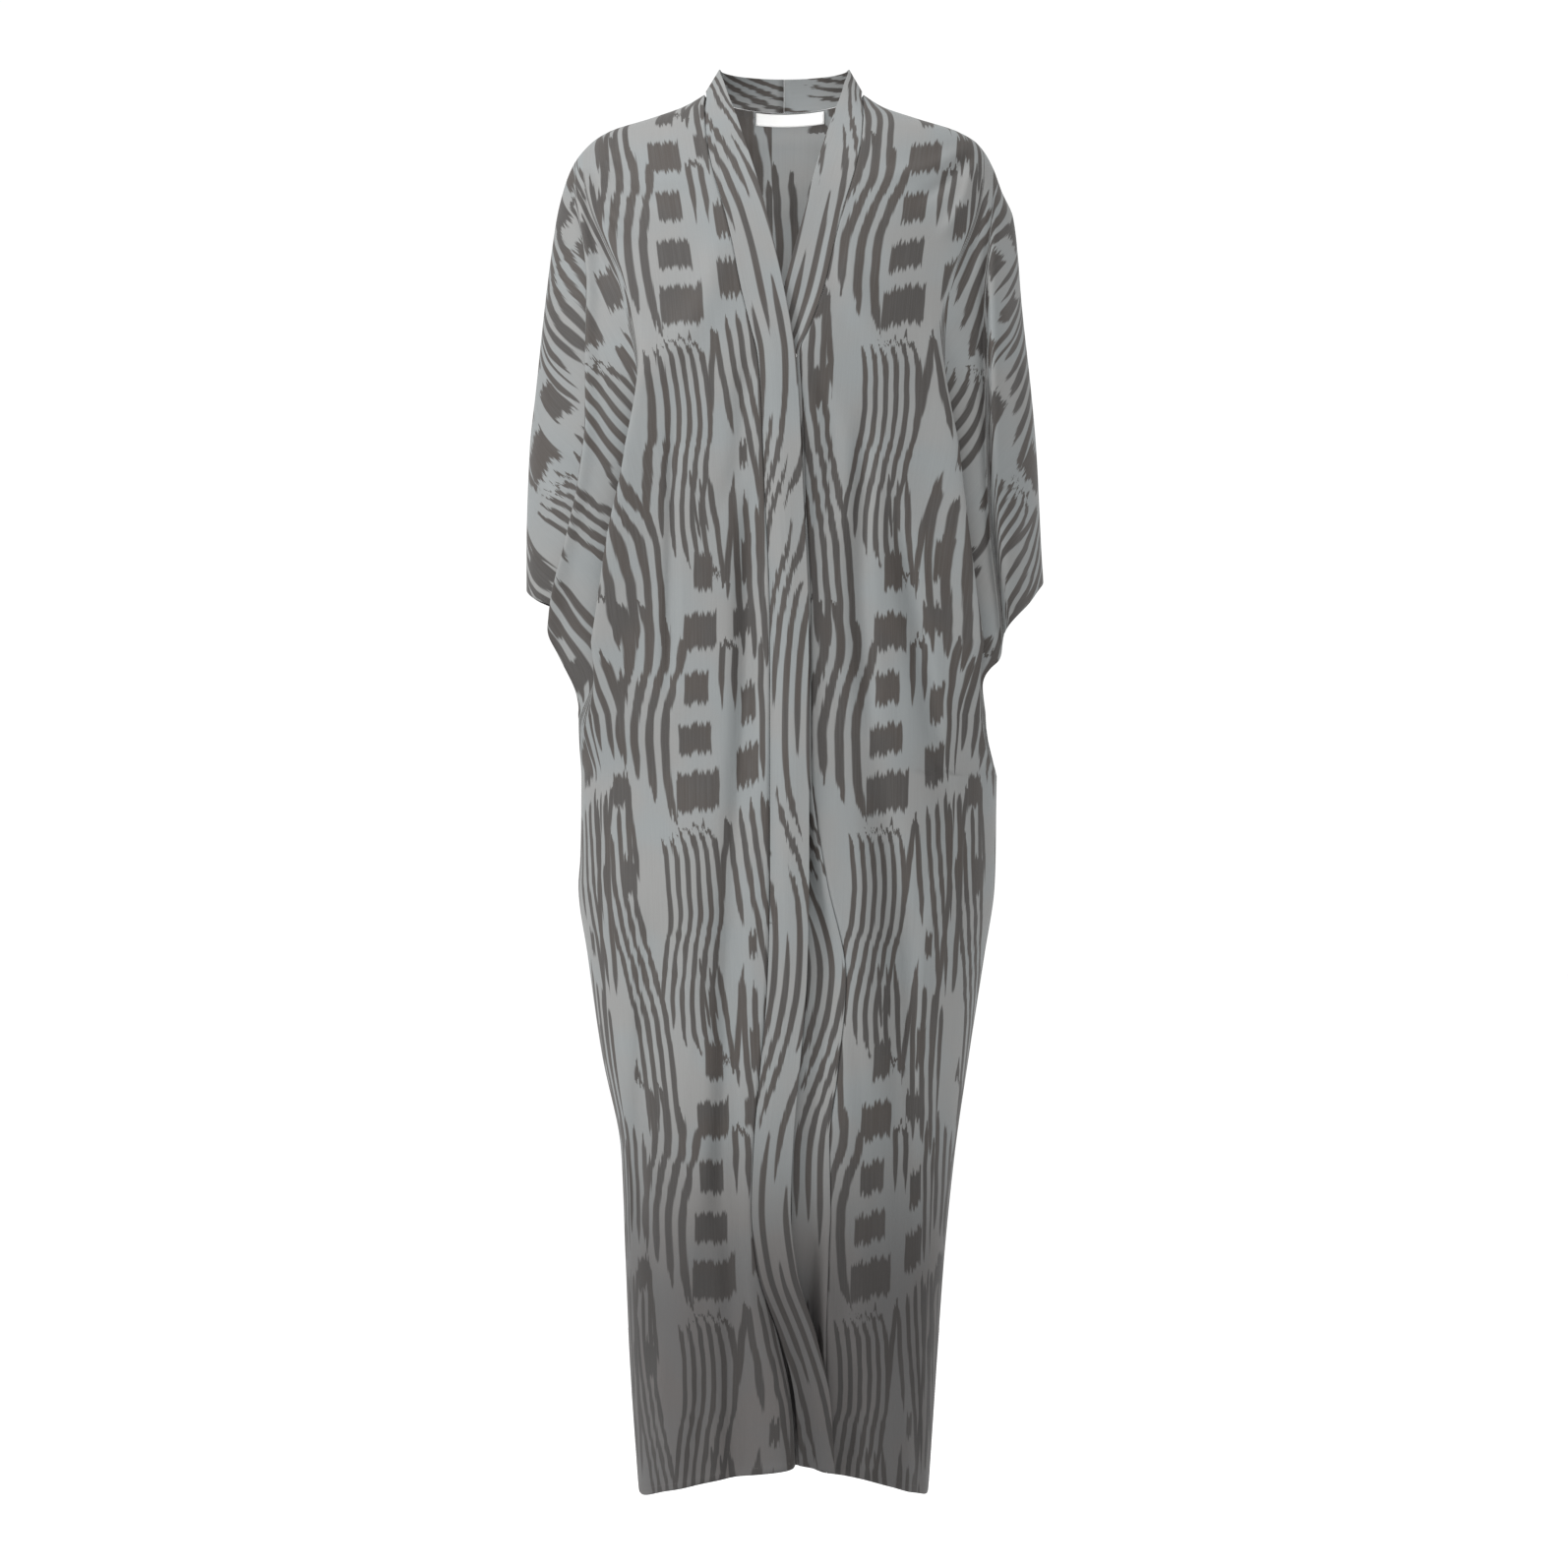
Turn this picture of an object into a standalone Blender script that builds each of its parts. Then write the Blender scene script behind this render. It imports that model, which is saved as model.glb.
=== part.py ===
"""A long open-front kimono coat of thin printed cloth, hollow as it hangs on the shoulders.

Metres, +Z up, front towards -Y, the wearer's right at -X. The origin lies midway between the two
points where the shoulder seams meet the neck band. Sizes and tables below are in millimetres.

Each panel is a sheet of columns that run from the shoulder down. A column's step says where it lies:
0 is the front opening or the middle of the back, 1 is the body's outer ridge and, lower down, the
side seam, and 2 is the line along the top of the arm, where the front and back sleeves meet.
"""

import bmesh
import bpy
import numpy as np

MM = 0.001
PANEL_WALL = 1.6
BAND_WALL = 2.0
LABEL_WALL = 1.0
SEAM_GAP = 0.3

# Neck and shoulder line, as distances from the middle, and how soon the columns leave it.
NECK_HALF_WIDTH = 78.0
BACK_NECK_DROP = 10.0
SHOULDER_POINT = 196.0
PLEAT_START = 205.0
OVERARM_START = 222.0
OVERARM_TOP = -95.0
SHOULDER_GAP = 0.35
TOP_REACH = 130.0

# Heights of the foot of the cuff, where the side seam starts, and of the vent at its end.
CUFF_FOOT = -670.0
VENT_TOP = -1235.0
VENT_OPEN = 4.0
VENT_RUN = 60.0

SIDES = {"left": -1.0, "right": 1.0}
FACES = {"front": -1.0, "back": 1.0}

# Half widths and depths of the horizontal sections, from the neck point down to the hem.
SECTION_COLUMNS = ("height", "left", "right", "front", "back")
SECTIONS = (
    (0, 78, 78, 40, 60),
    (-12, 99, 97, 44, 63),
    (-24, 133, 132, 49, 67),
    (-36, 171, 170, 56, 72),
    (-48, 190, 190, 63, 79),
    (-71, 208, 205, 76, 91),
    (-95, 217, 214, 88, 101),
    (-120, 223, 225, 97, 109),
    (-160, 229, 230, 108, 115),
    (-200, 234, 233, 117, 120),
    (-293, 244, 243, 127, 119),
    (-350, 250, 248, 127, 117),
    (-450, 253, 253, 124, 115),
    (-487, 253, 255, 122, 115),
    (-560, 249, 250, 121, 117),
    (-610, 234, 236, 122, 119),
    (-670, 199, 209, 124, 121),
    (-749, 200, 208, 124, 123),
    (-777, 202, 207, 124, 123),
    (-845, 193, 197, 122, 122),
    (-942, 179, 182, 119, 119),
    (-1039, 160, 168, 116, 117),
    (-1136, 156, 158, 114, 116),
    (-1232, 152, 151, 113, 115),
    (-1380, 142, 141, 112, 114),
)

# The body's outer ridge, from the shoulder point to the foot of the cuff, as X.
RIDGE_COLUMNS = ("height", "left", "right")
BODY_RIDGE = (
    (-51, 196, 196),
    (-150, 168, 172),
    (-226, 146, 152),
    (-274, 141, 155),
    (-346, 145, 160),
    (-442, 163, 171),
    (-533, 176, 183),
    (-585, 185, 190),
    (-630, 198, 196),
    (-670, 199, 209),
)
# The radial fold that parts the hanging sleeve from the body, as X.
SLEEVE_FOLD = (
    (-66, 205, 205),
    (-114, 193, 200),
    (-200, 191, 198),
    (-322, 191, 199),
    (-377, 197, 200),
    (-434, 209, 203),
    (-513, 227, 212),
    (-560, 231, 216),
    (-610, 224, 220),
    (-670, 199, 209),
)
SLEEVE_FOLD_STEP = 1.7
# Height of the cuff's edge, by step from the body's ridge to the top of the arm.
CUFF_COLUMNS = ("step", "left", "right")
CUFF = (
    (1.00, -670, -670),
    (1.05, -625, -615),
    (1.12, -610, -592),
    (1.25, -594, -574),
    (1.35, -578, -566),
    (1.60, -536, -552),
    (1.70, -514, -532),
    (1.80, -501, -507),
    (1.90, -492, -487),
    (2.00, -486, -478),
)
# Height of the hem, by step from the front opening or the middle of the back to the side.
HEM_COLUMNS = ("step", "left_front", "right_front", "back")
HEM = (
    (0.00, -1334, -1345, -1352),
    (0.20, -1344, -1351, -1353),
    (0.40, -1354, -1360, -1356),
    (0.60, -1364, -1368, -1361),
    (0.85, -1373, -1373, -1368),
    (0.94, -1371, -1371, -1369),
    (1.00, -1361, -1363, -1366),
)
# Where each band is sewn to its front, and where its free edge lies, as X.
OPENING_COLUMNS = ("height", "left_seam", "right_seam", "left_edge", "right_edge")
OPENING = (
    (22, -78.0, 78.0, -63.0, 63.5),
    (10, -78.0, 78.0, -58.5, 59.0),
    (0, -78.0, 78.0, -55.5, 56.5),
    (-22, -74.5, 74.5, -47.5, 49.0),
    (-50, -70.5, 70.5, -38.7, 39.5),
    (-82, -65.5, 65.0, -28.5, 30.0),
    (-116, -59.0, 58.0, -19.0, 22.0),
    (-158, -49.5, 48.0, -9.0, 10.5),
    (-200, -41.5, 38.5, 0.0, 0.0),
    (-240, -31.5, 24.0, 7.5, -6.5),
    (-262, -26.0, 15.0, 11.0, -10.0),
    (-300, -22.5, 17.0, 13.8, -13.0),
    (-390, -19.0, 20.5, 18.2, -15.0),
    (-526, -13.7, 26.0, 23.8, -12.0),
    (-660, -13.7, 26.4, 24.2, -11.6),
    (-768, -13.7, 41.0, 24.2, 3.5),
    (-864, -16.0, 60.0, 22.0, 22.0),
    (-963, -24.0, 51.0, 14.0, 13.0),
    (-1021, -29.0, 44.0, 9.0, 6.0),
    (-1088, -31.5, 45.0, 6.5, 7.0),
    (-1147, -25.5, 43.0, 12.5, 5.0),
    (-1213, -5.5, 41.0, 32.0, 3.5),
    (-1280, 7.5, 41.0, 45.5, 3.5),
    (-1380, 12.5, 42.0, 50.5, 4.5),
)
# How far the cloth stands out of the front at each seam and free edge. Less than 0 is inwards.
LIFT_COLUMNS = ("height", "left_seam", "right_seam", "left_edge", "right_edge")
LIFT = (
    (0, 0, 0, 0, 0),
    (-180, 0, 0, 1.0, -2.0),
    (-230, 0, 0, 3.0, -4.0),
    (-700, 0, 0, 3.0, -4.0),
    (-1060, 0, 0, 2.0, -6.0),
    (-1200, -4, -20, -6.0, -25.0),
    (-1380, -5, -24, -8.0, -29.0),
)
# How far from the opening a seam's lift dies away, in steps.
LIFT_REACH = {"left": 0.10, "right": 0.42}
BAND_LIFT_SHARE = 0.5

# The band's free edge round the side of the neck: how far forward it lies.
NECK_EDGE_COLUMNS = ("height", "forward")
NECK_EDGE = ((25, 1), (10, 15), (0, 24), (-12, 34), (-28, 47), (-50, 60), (-82, 79), (-110, 92))
NECK_EDGE_FOOT = -50.0
BAND_TOP = 25.0
BAND_TOP_HALF_WIDTH = 63.0
BAND_TOP_DEPTH = 50.0
BAND_TOP_DIP = 3.0
BAND_TOP_RUN = 55.0
BAND_TURN_GAP = 0.7
# How much lower the free edge's end is than the seam's, and the height from which it falls.
BAND_HEM_DROP = {"left": 10.0, "right": -9.0}
BAND_HEM_RUN = (-1230.0, 100.0)

# Soft upright folds. Each line passes three X positions, at its top, its middle and its foot.
FOLD_COLUMNS = ("face", "top", "foot", "x_top", "x_middle", "x_foot", "out", "width")
FOLDS = (
    ("front", -290, -660, 78, 73, 86, -9, 10),
    ("front", -580, -1220, 80, 109, 112, -13, 15),
    ("front", -370, -780, 100, 134, 166, -9, 10),
    ("front", -1150, -1500, 114, 130, 138, -5, 7),
    ("front", -340, -800, -34, -37, -51, -10, 11),
    ("front", -700, -1140, -46, -57, -63, -10, 12),
    ("front", -290, -620, -106, -109, -112, -5, 6),
    ("front", -800, -1180, -133, -141, -147, -7, 8),
    ("front", -1020, -1500, -54, -50, -46, -9, 11),
    ("front", -640, -1500, 78, 72, 86, 6, 18),
    ("front", -640, -1500, -92, -96, -98, 6, 20),
    ("back", -240, -1500, -64, -56, -70, -10, 15),
    ("back", -330, -1500, 42, 50, 60, -10, 13),
    ("back", -420, -1500, 104, 112, 112, -9, 12),
    ("back", -380, -1500, -118, -122, -118, -10, 13),
    ("back", -700, -1500, -6, 0, 4, 8, 20),
)
FOLD_FADE_IN = 0.3
FOLD_FADE_OUT = 0.25

# Radial pleats of the lowered sleeve: strength down each, as height and share of the full size.
BODY_PLEAT = ((-226, 0.0), (-350, 1.0), (-540, 1.0), (-610, 0.0))
SLEEVE_PLEAT = ((-115, 0.0), (-170, 0.6), (-260, 1.0), (-480, 1.0), (-600, 0.4))
PLEAT_COLUMNS = ("lean", "out", "width_before", "width_after")
BODY_PLEAT_SIZE = {"front": (25, 9, 0.10, 0.17), "back": (17, 7, 0.10, 0.17)}
SLEEVE_PLEAT_SIZE = {"front": (13, 8, 0.075, 0.055), "back": (12, 7, 0.075, 0.055)}
# The one sleeve fold that turns the other way.
TURNED_PLEAT = ("right", "front")
# A pleat folds over itself this many times its own slope, and less where it has no room.
PLEAT_OVERHANG = 2.1
PLEAT_FLAT = 0.7
PLEAT_ROOM = (4.0, 8.0)
FOLD_WAVE_SLOPE = 1.65
STEP_PROBE = 0.012

# The left front rolls forward over its band's seam near the hem.
ROLL_TOP = -1110.0
ROLL_FULL = -1290.0
ROLL_OUT = 13.0
ROLL_OVER = 12.0
ROLL_WIDTH = 0.09

# The columns of a panel, and the rows down each: closer at the shoulder, where the form turns.
BODY_STEPS = (0, 0.06, 0.13, 0.21, 0.29, 0.37, 0.45, 0.53, 0.61, 0.69, 0.76, 0.82, 0.87, 0.91, 0.955, 1.0)
SLEEVE_STEPS = (
    *(1.05, 1.11, 1.18, 1.27, 1.38, 1.49, 1.57, 1.63),
    *(1.67, 1.70, 1.73, 1.765, 1.81, 1.87, 1.94, 2.0),
)
BACK_NECK_STEPS = 6
UPPER_ROWS = 19
LOWER_ROWS = 12
TOP_ROWS_CLOSER = 0.6
BAND_STEPS = (0.0, 0.12, 0.34, 0.68, 1.0)

# The woven label hangs from the neck seam inside the back.
LABEL_CENTRE_X = 6.0
LABEL_WIDTH = 68.0
LABEL_HEIGHT = 12.0
LABEL_TOP = 1.5
LABEL_INSIDE = 2.4
LABEL_COLUMNS = 10
LABEL_ROWS = 3

# The wire hook under the free edge of the wearer's right band, at the top of the overlap.
HOOK_HEIGHT = -266.0
HOOK_LENGTH = 7.0
HOOK_OPEN = 4.0
HOOK_PAST_EDGE = 1.0
HOOK_WIRE = 1.0

CLOTH_COLOUR = (0.27, 0.27, 0.26, 1.0)
BAND_COLOUR = (0.25, 0.26, 0.25, 1.0)
LABEL_COLOUR = (0.82, 0.82, 0.80, 1.0)
HOOK_COLOUR = (0.55, 0.55, 0.54, 1.0)


def through(xs, ys, x):
    """A smooth curve through the points, which never overshoots them, read at x."""
    order = np.argsort(xs)
    xs = np.asarray(xs, float)[order]
    ys = np.asarray(ys, float)[order]
    step = np.diff(xs)
    rise = np.diff(ys) / step
    slope = np.zeros(len(xs))
    heavy = (step[:-1] + 2 * step[1:]) / (3 * (step[:-1] + step[1:]))
    mixed = heavy * rise[1:] + (1 - heavy) * rise[:-1]
    same_way = rise[:-1] * rise[1:] > 0
    slope[1:-1][same_way] = (rise[:-1] * rise[1:])[same_way] / mixed[same_way]
    slope[0] = rise[0]
    slope[-1] = rise[-1]
    x = np.clip(x, xs[0], xs[-1])
    i = np.clip(np.searchsorted(xs, x, side="right") - 1, 0, len(step) - 1)
    t = (x - xs[i]) / step[i]
    start = ys[i] * (1 + 2 * t) * (1 - t) ** 2 + slope[i] * step[i] * t * (1 - t) ** 2
    end = ys[i + 1] * t * t * (3 - 2 * t) + slope[i + 1] * step[i] * t * t * (t - 1)
    return start + end


def column(table, names, name):
    """One named column of a table."""
    return np.array([row[names.index(name)] for row in table], float)


def read(table, names, name, place):
    """A named column of a table, read at a place along its first column."""
    return through(column(table, names, names[0]), column(table, names, name), place)


def ease(t):
    """0 below 0, 1 above 1, and smooth between."""
    t = np.clip(t, 0.0, 1.0)
    return t * t * (3 - 2 * t)


def fold_wave(t):
    """An odd wave: -1 at -1, 1 at 1, and 0 in the middle and far away."""
    return t * np.exp((1 - t * t) / 2)


def strength(rows, z):
    """A pleat's strength at height z, from rows that go down."""
    return np.interp(-z, [-row[0] for row in rows], [row[1] for row in rows])


def unit(vector):
    """The vectors at a length of 1."""
    return vector / np.maximum(np.linalg.norm(vector, axis=-1, keepdims=True), 1e-6)


def half_width(side, z):
    """Half the width of the section at height z."""
    return read(SECTIONS, SECTION_COLUMNS, side, z)


def soft_folds(face, x, z):
    """How far the soft folds move the cloth outwards at x, z."""
    out = np.zeros(np.broadcast(x, z).shape)
    for row in FOLDS:
        fold = dict(zip(FOLD_COLUMNS, row))
        if fold["face"] != face:
            continue
        t = (fold["top"] - z) / (fold["top"] - fold["foot"])
        line = through((0.0, 0.5, 1.0), (fold["x_top"], fold["x_middle"], fold["x_foot"]), t)
        inside = ease(t / FOLD_FADE_IN) * ease((1 - t) / FOLD_FADE_OUT)
        out = out + fold["out"] * inside * np.exp(-(((x - line) / fold["width"]) ** 2))
    return out


def section_point(face, x, z):
    """A point of the plain worn form at x, z: a half ellipse with the soft folds on it."""
    wide = np.where(x < 0, half_width("left", z), half_width("right", z))
    deep = read(SECTIONS, SECTION_COLUMNS, face, z)
    roundness = np.sqrt(np.clip(1 - (x / wide) ** 2, 0, 1))
    out = deep * roundness + soft_folds(face, x, z) * ease(roundness * 2)
    vent = VENT_OPEN * ease((VENT_TOP - z) / VENT_RUN)
    shoulder = SHOULDER_GAP * ease((z - OVERARM_TOP) / 20 + 1)
    edge = SEAM_GAP / 2 + (vent + shoulder) * (1 - ease(roundness * 3))
    return np.stack([x + 0 * z, FACES[face] * (out + edge), z + 0 * x], axis=-1)


def shoulder_height(side, x):
    """Height of the shoulder line at x: the outline read the other way round."""
    heights = np.arange(0, -130, -0.5)
    return np.interp(x, half_width(side, heights), heights)


def top_of(side, face, c):
    """Distance from the middle and height at which column c starts: neckline, shoulder or overarm."""
    inner = NECK_HALF_WIDTH if face == "front" else 0.0
    steps = (0, 1, SLEEVE_FOLD_STEP, 2)
    x = np.interp(c, steps, (inner, SHOULDER_POINT, PLEAT_START, OVERARM_START))
    neck = -BACK_NECK_DROP * (1 - (x / NECK_HALF_WIDTH) ** 2)
    return x, np.where(x < NECK_HALF_WIDTH, neck, shoulder_height(side, x))


def across_at(side, face, c, z):
    """Distance of column c from the middle at height z, below the reach of its top."""
    wide = half_width(side, z)
    seam = SIDES[side] * read(OPENING, OPENING_COLUMNS, side + "_seam", z)
    inner = seam if face == "front" else 0 * z
    ridge = np.where(z < CUFF_FOOT, wide, read(BODY_RIDGE, RIDGE_COLUMNS, side, z))
    fold = np.where(z < CUFF_FOOT, wide, read(SLEEVE_FOLD, RIDGE_COLUMNS, side, z))
    turns = [np.arcsin(np.clip(x / wide, -1, 1)) for x in (inner, ridge, fold, wide)]
    steps = (0.0, 1.0, SLEEVE_FOLD_STEP, 2.0)
    turn = turns[0]
    for start, end, before, after in zip(steps, steps[1:], turns, turns[1:]):
        turn = turn + (after - before) * np.clip((c - start) / (end - start), 0, 1)
    return wide * np.sin(turn)


def plain_point(side, face, c, z):
    """A point of column c at height z, before the pleats."""
    x_top, z_top = top_of(side, face, c)
    reach = TOP_REACH * np.clip((2 - c) / (2 - SLEEVE_FOLD_STEP), 0.02, 1)
    x = x_top + (across_at(side, face, c, z) - x_top) * ease((z_top - z) / reach)
    return section_point(face, SIDES[side] * np.minimum(x, half_width(side, z)), z)


def pleated_point(side, face, c, z):
    """A point of column c at height z, with the radial pleats of the lowered sleeve."""
    point = plain_point(side, face, c, z)
    probe = plain_point(side, face, c + STEP_PROBE, z) - plain_point(side, face, c - STEP_PROBE, z)
    probe[..., 2] = 0
    size = np.linalg.norm(probe, axis=-1, keepdims=True) / (2 * STEP_PROBE)
    along = unit(probe)
    turn = SIDES[side] * FACES[face]
    out = np.stack([-turn * along[..., 1], turn * along[..., 0], 0 * z], axis=-1)
    facing = -1.0 if (side, face) == TURNED_PLEAT else 1.0
    pleats = (
        (1.0, BODY_PLEAT_SIZE[face], strength(BODY_PLEAT, z), 1.0),
        (SLEEVE_FOLD_STEP, SLEEVE_PLEAT_SIZE[face], strength(SLEEVE_PLEAT, z), facing),
    )
    for at, sizes, power, way in pleats:
        pleat = dict(zip(PLEAT_COLUMNS, sizes))
        width = np.where(c < at, pleat["width_before"], pleat["width_after"])
        wave = (fold_wave((c - at) / width) * power)[..., None]
        room = width[..., None] * size
        overhang = PLEAT_FLAT + (PLEAT_OVERHANG - PLEAT_FLAT) * ease((room - PLEAT_ROOM[0]) / PLEAT_ROOM[1])
        lean = np.minimum(pleat["lean"], overhang * room / FOLD_WAVE_SLOPE)
        rise = np.minimum(pleat["out"], room)
        point = point - wave * (lean * along + way * rise * out)
    return point


def panel_point(side, face, c, z):
    """A point of a panel, with what its opening edge does on a front."""
    point = pleated_point(side, face, c, z)
    if face == "back":
        return point
    lift = read(LIFT, LIFT_COLUMNS, side + "_seam", z) * np.exp(-((c / LIFT_REACH[side]) ** 2))
    rolls = side == "left"
    roll = rolls * fold_wave(c / ROLL_WIDTH) * ease((ROLL_TOP - z) / (ROLL_TOP - ROLL_FULL))
    moved = np.stack([-SIDES[side] * ROLL_OVER * roll, -ROLL_OUT * roll - lift, 0 * z], axis=-1)
    return point + moved


def heights_of(side, face, c):
    """The heights of column c's points, from its top to the foot of the cuff, and on to the hem."""
    top = top_of(side, face, c)[1]
    foot = read(CUFF, CUFF_COLUMNS, side, max(c, 1.0))
    hem = read(HEM, HEM_COLUMNS, "back" if face == "back" else side + "_front", min(c, 1.0))
    share = np.arange(UPPER_ROWS + 1) / UPPER_ROWS
    share = share**2 * (1 + TOP_ROWS_CLOSER) / (share + TOP_ROWS_CLOSER)
    upper = top + (foot - top) * share
    lower = CUFF_FOOT + (hem - CUFF_FOOT) * np.arange(1, LOWER_ROWS + 1) / LOWER_ROWS
    return np.concatenate([upper, lower])


def panel_columns(side, face, steps):
    """Each step's line of points, from the shoulder down to the hem."""
    columns = []
    for c in steps:
        z = heights_of(side, face, c)
        columns.append(panel_point(side, face, np.full(len(z), float(c)), z))
    return columns


def below_cuff(steps):
    """The grid places, as column and row, that would lie under the sleeve's cuff."""
    rows = range(UPPER_ROWS + 1, UPPER_ROWS + LOWER_ROWS + 1)
    return {(i, row) for i, c in enumerate(steps) if abs(c) > 1 for row in rows}


def neck_turns():
    """The turns, from the middle of the back neck towards its side, at which points are taken."""
    return np.arange(BACK_NECK_STEPS) * np.pi / 2 / BACK_NECK_STEPS


def add_sheet(name, columns, wall, material, missing=()):
    """Lays a grid on the columns' points, leaves out the missing places, and gives it a wall."""
    form = bmesh.new()
    bmesh.ops.create_grid(form, x_segments=len(columns) - 1, y_segments=len(columns[0]) - 1, size=0.5)
    order = sorted(form.verts, key=lambda v: (round(-v.co.y, 6), round(v.co.x, 6)))
    gone = []
    for place, vert in enumerate(order):
        row, step = divmod(place, len(columns))
        vert.co = columns[step][row] * MM
        if (step, row) in missing:
            gone.append(vert)
    bmesh.ops.delete(form, geom=gone, context="VERTS")
    mesh = bpy.data.meshes.new(name)
    form.to_mesh(mesh)
    form.free()
    mesh.shade_smooth()
    mesh.materials.append(material)
    piece = bpy.data.objects.new(name, mesh)
    garment.objects.link(piece)
    shell = piece.modifiers.new("wall", "SOLIDIFY")
    shell.thickness = wall * MM
    shell.offset = 0.0
    return piece


def add_front(side, name, material):
    """A front with the front half of its sleeve."""
    steps = BODY_STEPS + SLEEVE_STEPS
    columns = panel_columns(side, "front", steps)
    if side == "left":
        steps = steps[::-1]
        columns = columns[::-1]
    return add_sheet(name, columns, PANEL_WALL, material, below_cuff(steps))


def add_back(name, material):
    """The back with the back halves of both sleeves."""
    neck = NECK_HALF_WIDTH / SHOULDER_POINT
    shoulder = tuple(neck + (1 - neck) * c for c in BODY_STEPS)
    steps = tuple(neck * np.sin(neck_turns())) + shoulder + SLEEVE_STEPS
    right = panel_columns("right", "back", steps)
    left = panel_columns("left", "back", steps)
    columns = right[::-1] + left[1:]
    return add_sheet(name, columns, PANEL_WALL, material, below_cuff(steps[::-1] + steps[1:]))


def band_edge(side, low):
    """A band's free edge, from the side of the neck down, at the heights of its seam."""
    z = low + BAND_TOP * np.exp(low / BAND_TOP_RUN)
    z = z - BAND_HEM_DROP[side] * ease((BAND_HEM_RUN[0] - low) / BAND_HEM_RUN[1])
    x = read(OPENING, OPENING_COLUMNS, side + "_edge", z)
    chest = section_point("front", x, np.minimum(z, -1.0))
    neck = read(NECK_EDGE, NECK_EDGE_COLUMNS, "forward", z)
    on_chest = ease((NECK_EDGE_FOOT - z) / -NECK_EDGE_FOOT)
    return np.stack([x, chest[..., 1] * on_chest - neck * (1 - on_chest), z], axis=-1)


def band_lines(side):
    """Points of the seam, points just inside the panel, and points of the free edge, with heights."""
    turn = np.maximum(neck_turns(), SEAM_GAP / BAND_TOP_HALF_WIDTH)
    x = SIDES[side] * NECK_HALF_WIDTH * np.sin(turn)
    z = -BACK_NECK_DROP * np.cos(turn) ** 2
    top = [
        SIDES[side] * BAND_TOP_HALF_WIDTH * np.sin(turn),
        BAND_TOP_DEPTH * np.cos(turn),
        BAND_TOP - BAND_TOP_DIP * np.cos(turn),
    ]
    low = heights_of(side, "front", 0)
    seam = np.concatenate([section_point("back", x, z), panel_point(side, "front", 0 * low, low)])
    inside = [section_point("back", x, z - 4), panel_point(side, "front", 0 * low + 0.02, low)]
    edge = np.concatenate([np.stack(top, axis=-1), band_edge(side, low)])
    return seam, np.concatenate(inside), edge, np.concatenate([0 * turn, low])


def add_band(side, name, material):
    """A band, folded double, from the middle of the back neck down the front to the hem."""
    seam, inside, edge, low = band_lines(side)
    across = unit(edge - seam)
    bend = np.arccos(np.clip(np.sum(across * unit(seam - inside), axis=-1), 0.3, 1))
    start = seam + across * (SEAM_GAP + BAND_TURN_GAP * BAND_WALL * np.tan(bend))[:, None]
    lift = read(LIFT, LIFT_COLUMNS, side + "_edge", low)
    columns = []
    for share in BAND_STEPS:
        forward = lift * ease(share / BAND_LIFT_SHARE)
        columns.append(start + (edge - start) * share - np.stack([0 * low, forward, 0 * low], axis=-1))
    if side == "right":
        columns = columns[::-1]
    return add_sheet(name, columns, BAND_WALL, material)


def add_label(name, material):
    """The bare woven label, on points of the back moved inwards."""
    columns = []
    for x in LABEL_CENTRE_X + LABEL_WIDTH * np.linspace(0.5, -0.5, LABEL_COLUMNS):
        top = -BACK_NECK_DROP * (1 - (x / NECK_HALF_WIDTH) ** 2) - LABEL_TOP
        z = top - np.linspace(0, LABEL_HEIGHT, LABEL_ROWS)
        columns.append(section_point("back", np.full(LABEL_ROWS, x), z) - np.array([0, LABEL_INSIDE, 0]))
    return add_sheet(name, columns, LABEL_WALL, material)


def add_hook(name, material):
    """A bent wire, sewn under the free edge of the band that lies on top."""
    z = np.array([HOOK_HEIGHT])
    edge = read(OPENING, OPENING_COLUMNS, "left_edge", z)
    lift = read(LIFT, LIFT_COLUMNS, "left_edge", z)
    front = section_point("front", edge, z)[0, 1] - lift[0]
    y = front + BAND_WALL / 2 + SEAM_GAP + HOOK_WIRE / 2
    radius = HOOK_OPEN / 2
    bend = np.linspace(0, np.pi, 7)
    right = edge[0] + HOOK_PAST_EDGE - HOOK_WIRE / 2
    route = [(right - HOOK_LENGTH, HOOK_HEIGHT + radius)]
    route += [(right - radius + radius * np.sin(a), HOOK_HEIGHT + radius * np.cos(a)) for a in bend]
    route += [(right - HOOK_LENGTH * 0.7, HOOK_HEIGHT - radius)]
    curve = bpy.data.curves.new(name, "CURVE")
    curve.dimensions = "3D"
    curve.bevel_depth = HOOK_WIRE / 2 * MM
    curve.bevel_resolution = 1
    curve.use_fill_caps = True
    line = curve.splines.new("POLY")
    line.points.add(len(route) - 1)
    for point, (x, height) in zip(line.points, route):
        point.co = (x * MM, y * MM, height * MM, 1)
    curve.materials.append(material)
    hook = bpy.data.objects.new(name, curve)
    garment.objects.link(hook)
    return hook


def material_of(name, colour, roughness, metallic=0.0):
    """A Principled material of one colour."""
    material = bpy.data.materials.new(name)
    material.use_nodes = True
    surface = material.node_tree.nodes["Principled BSDF"]
    surface.inputs["Base Color"].default_value = colour
    surface.inputs["Roughness"].default_value = roughness
    surface.inputs["Metallic"].default_value = metallic
    return material


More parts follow.
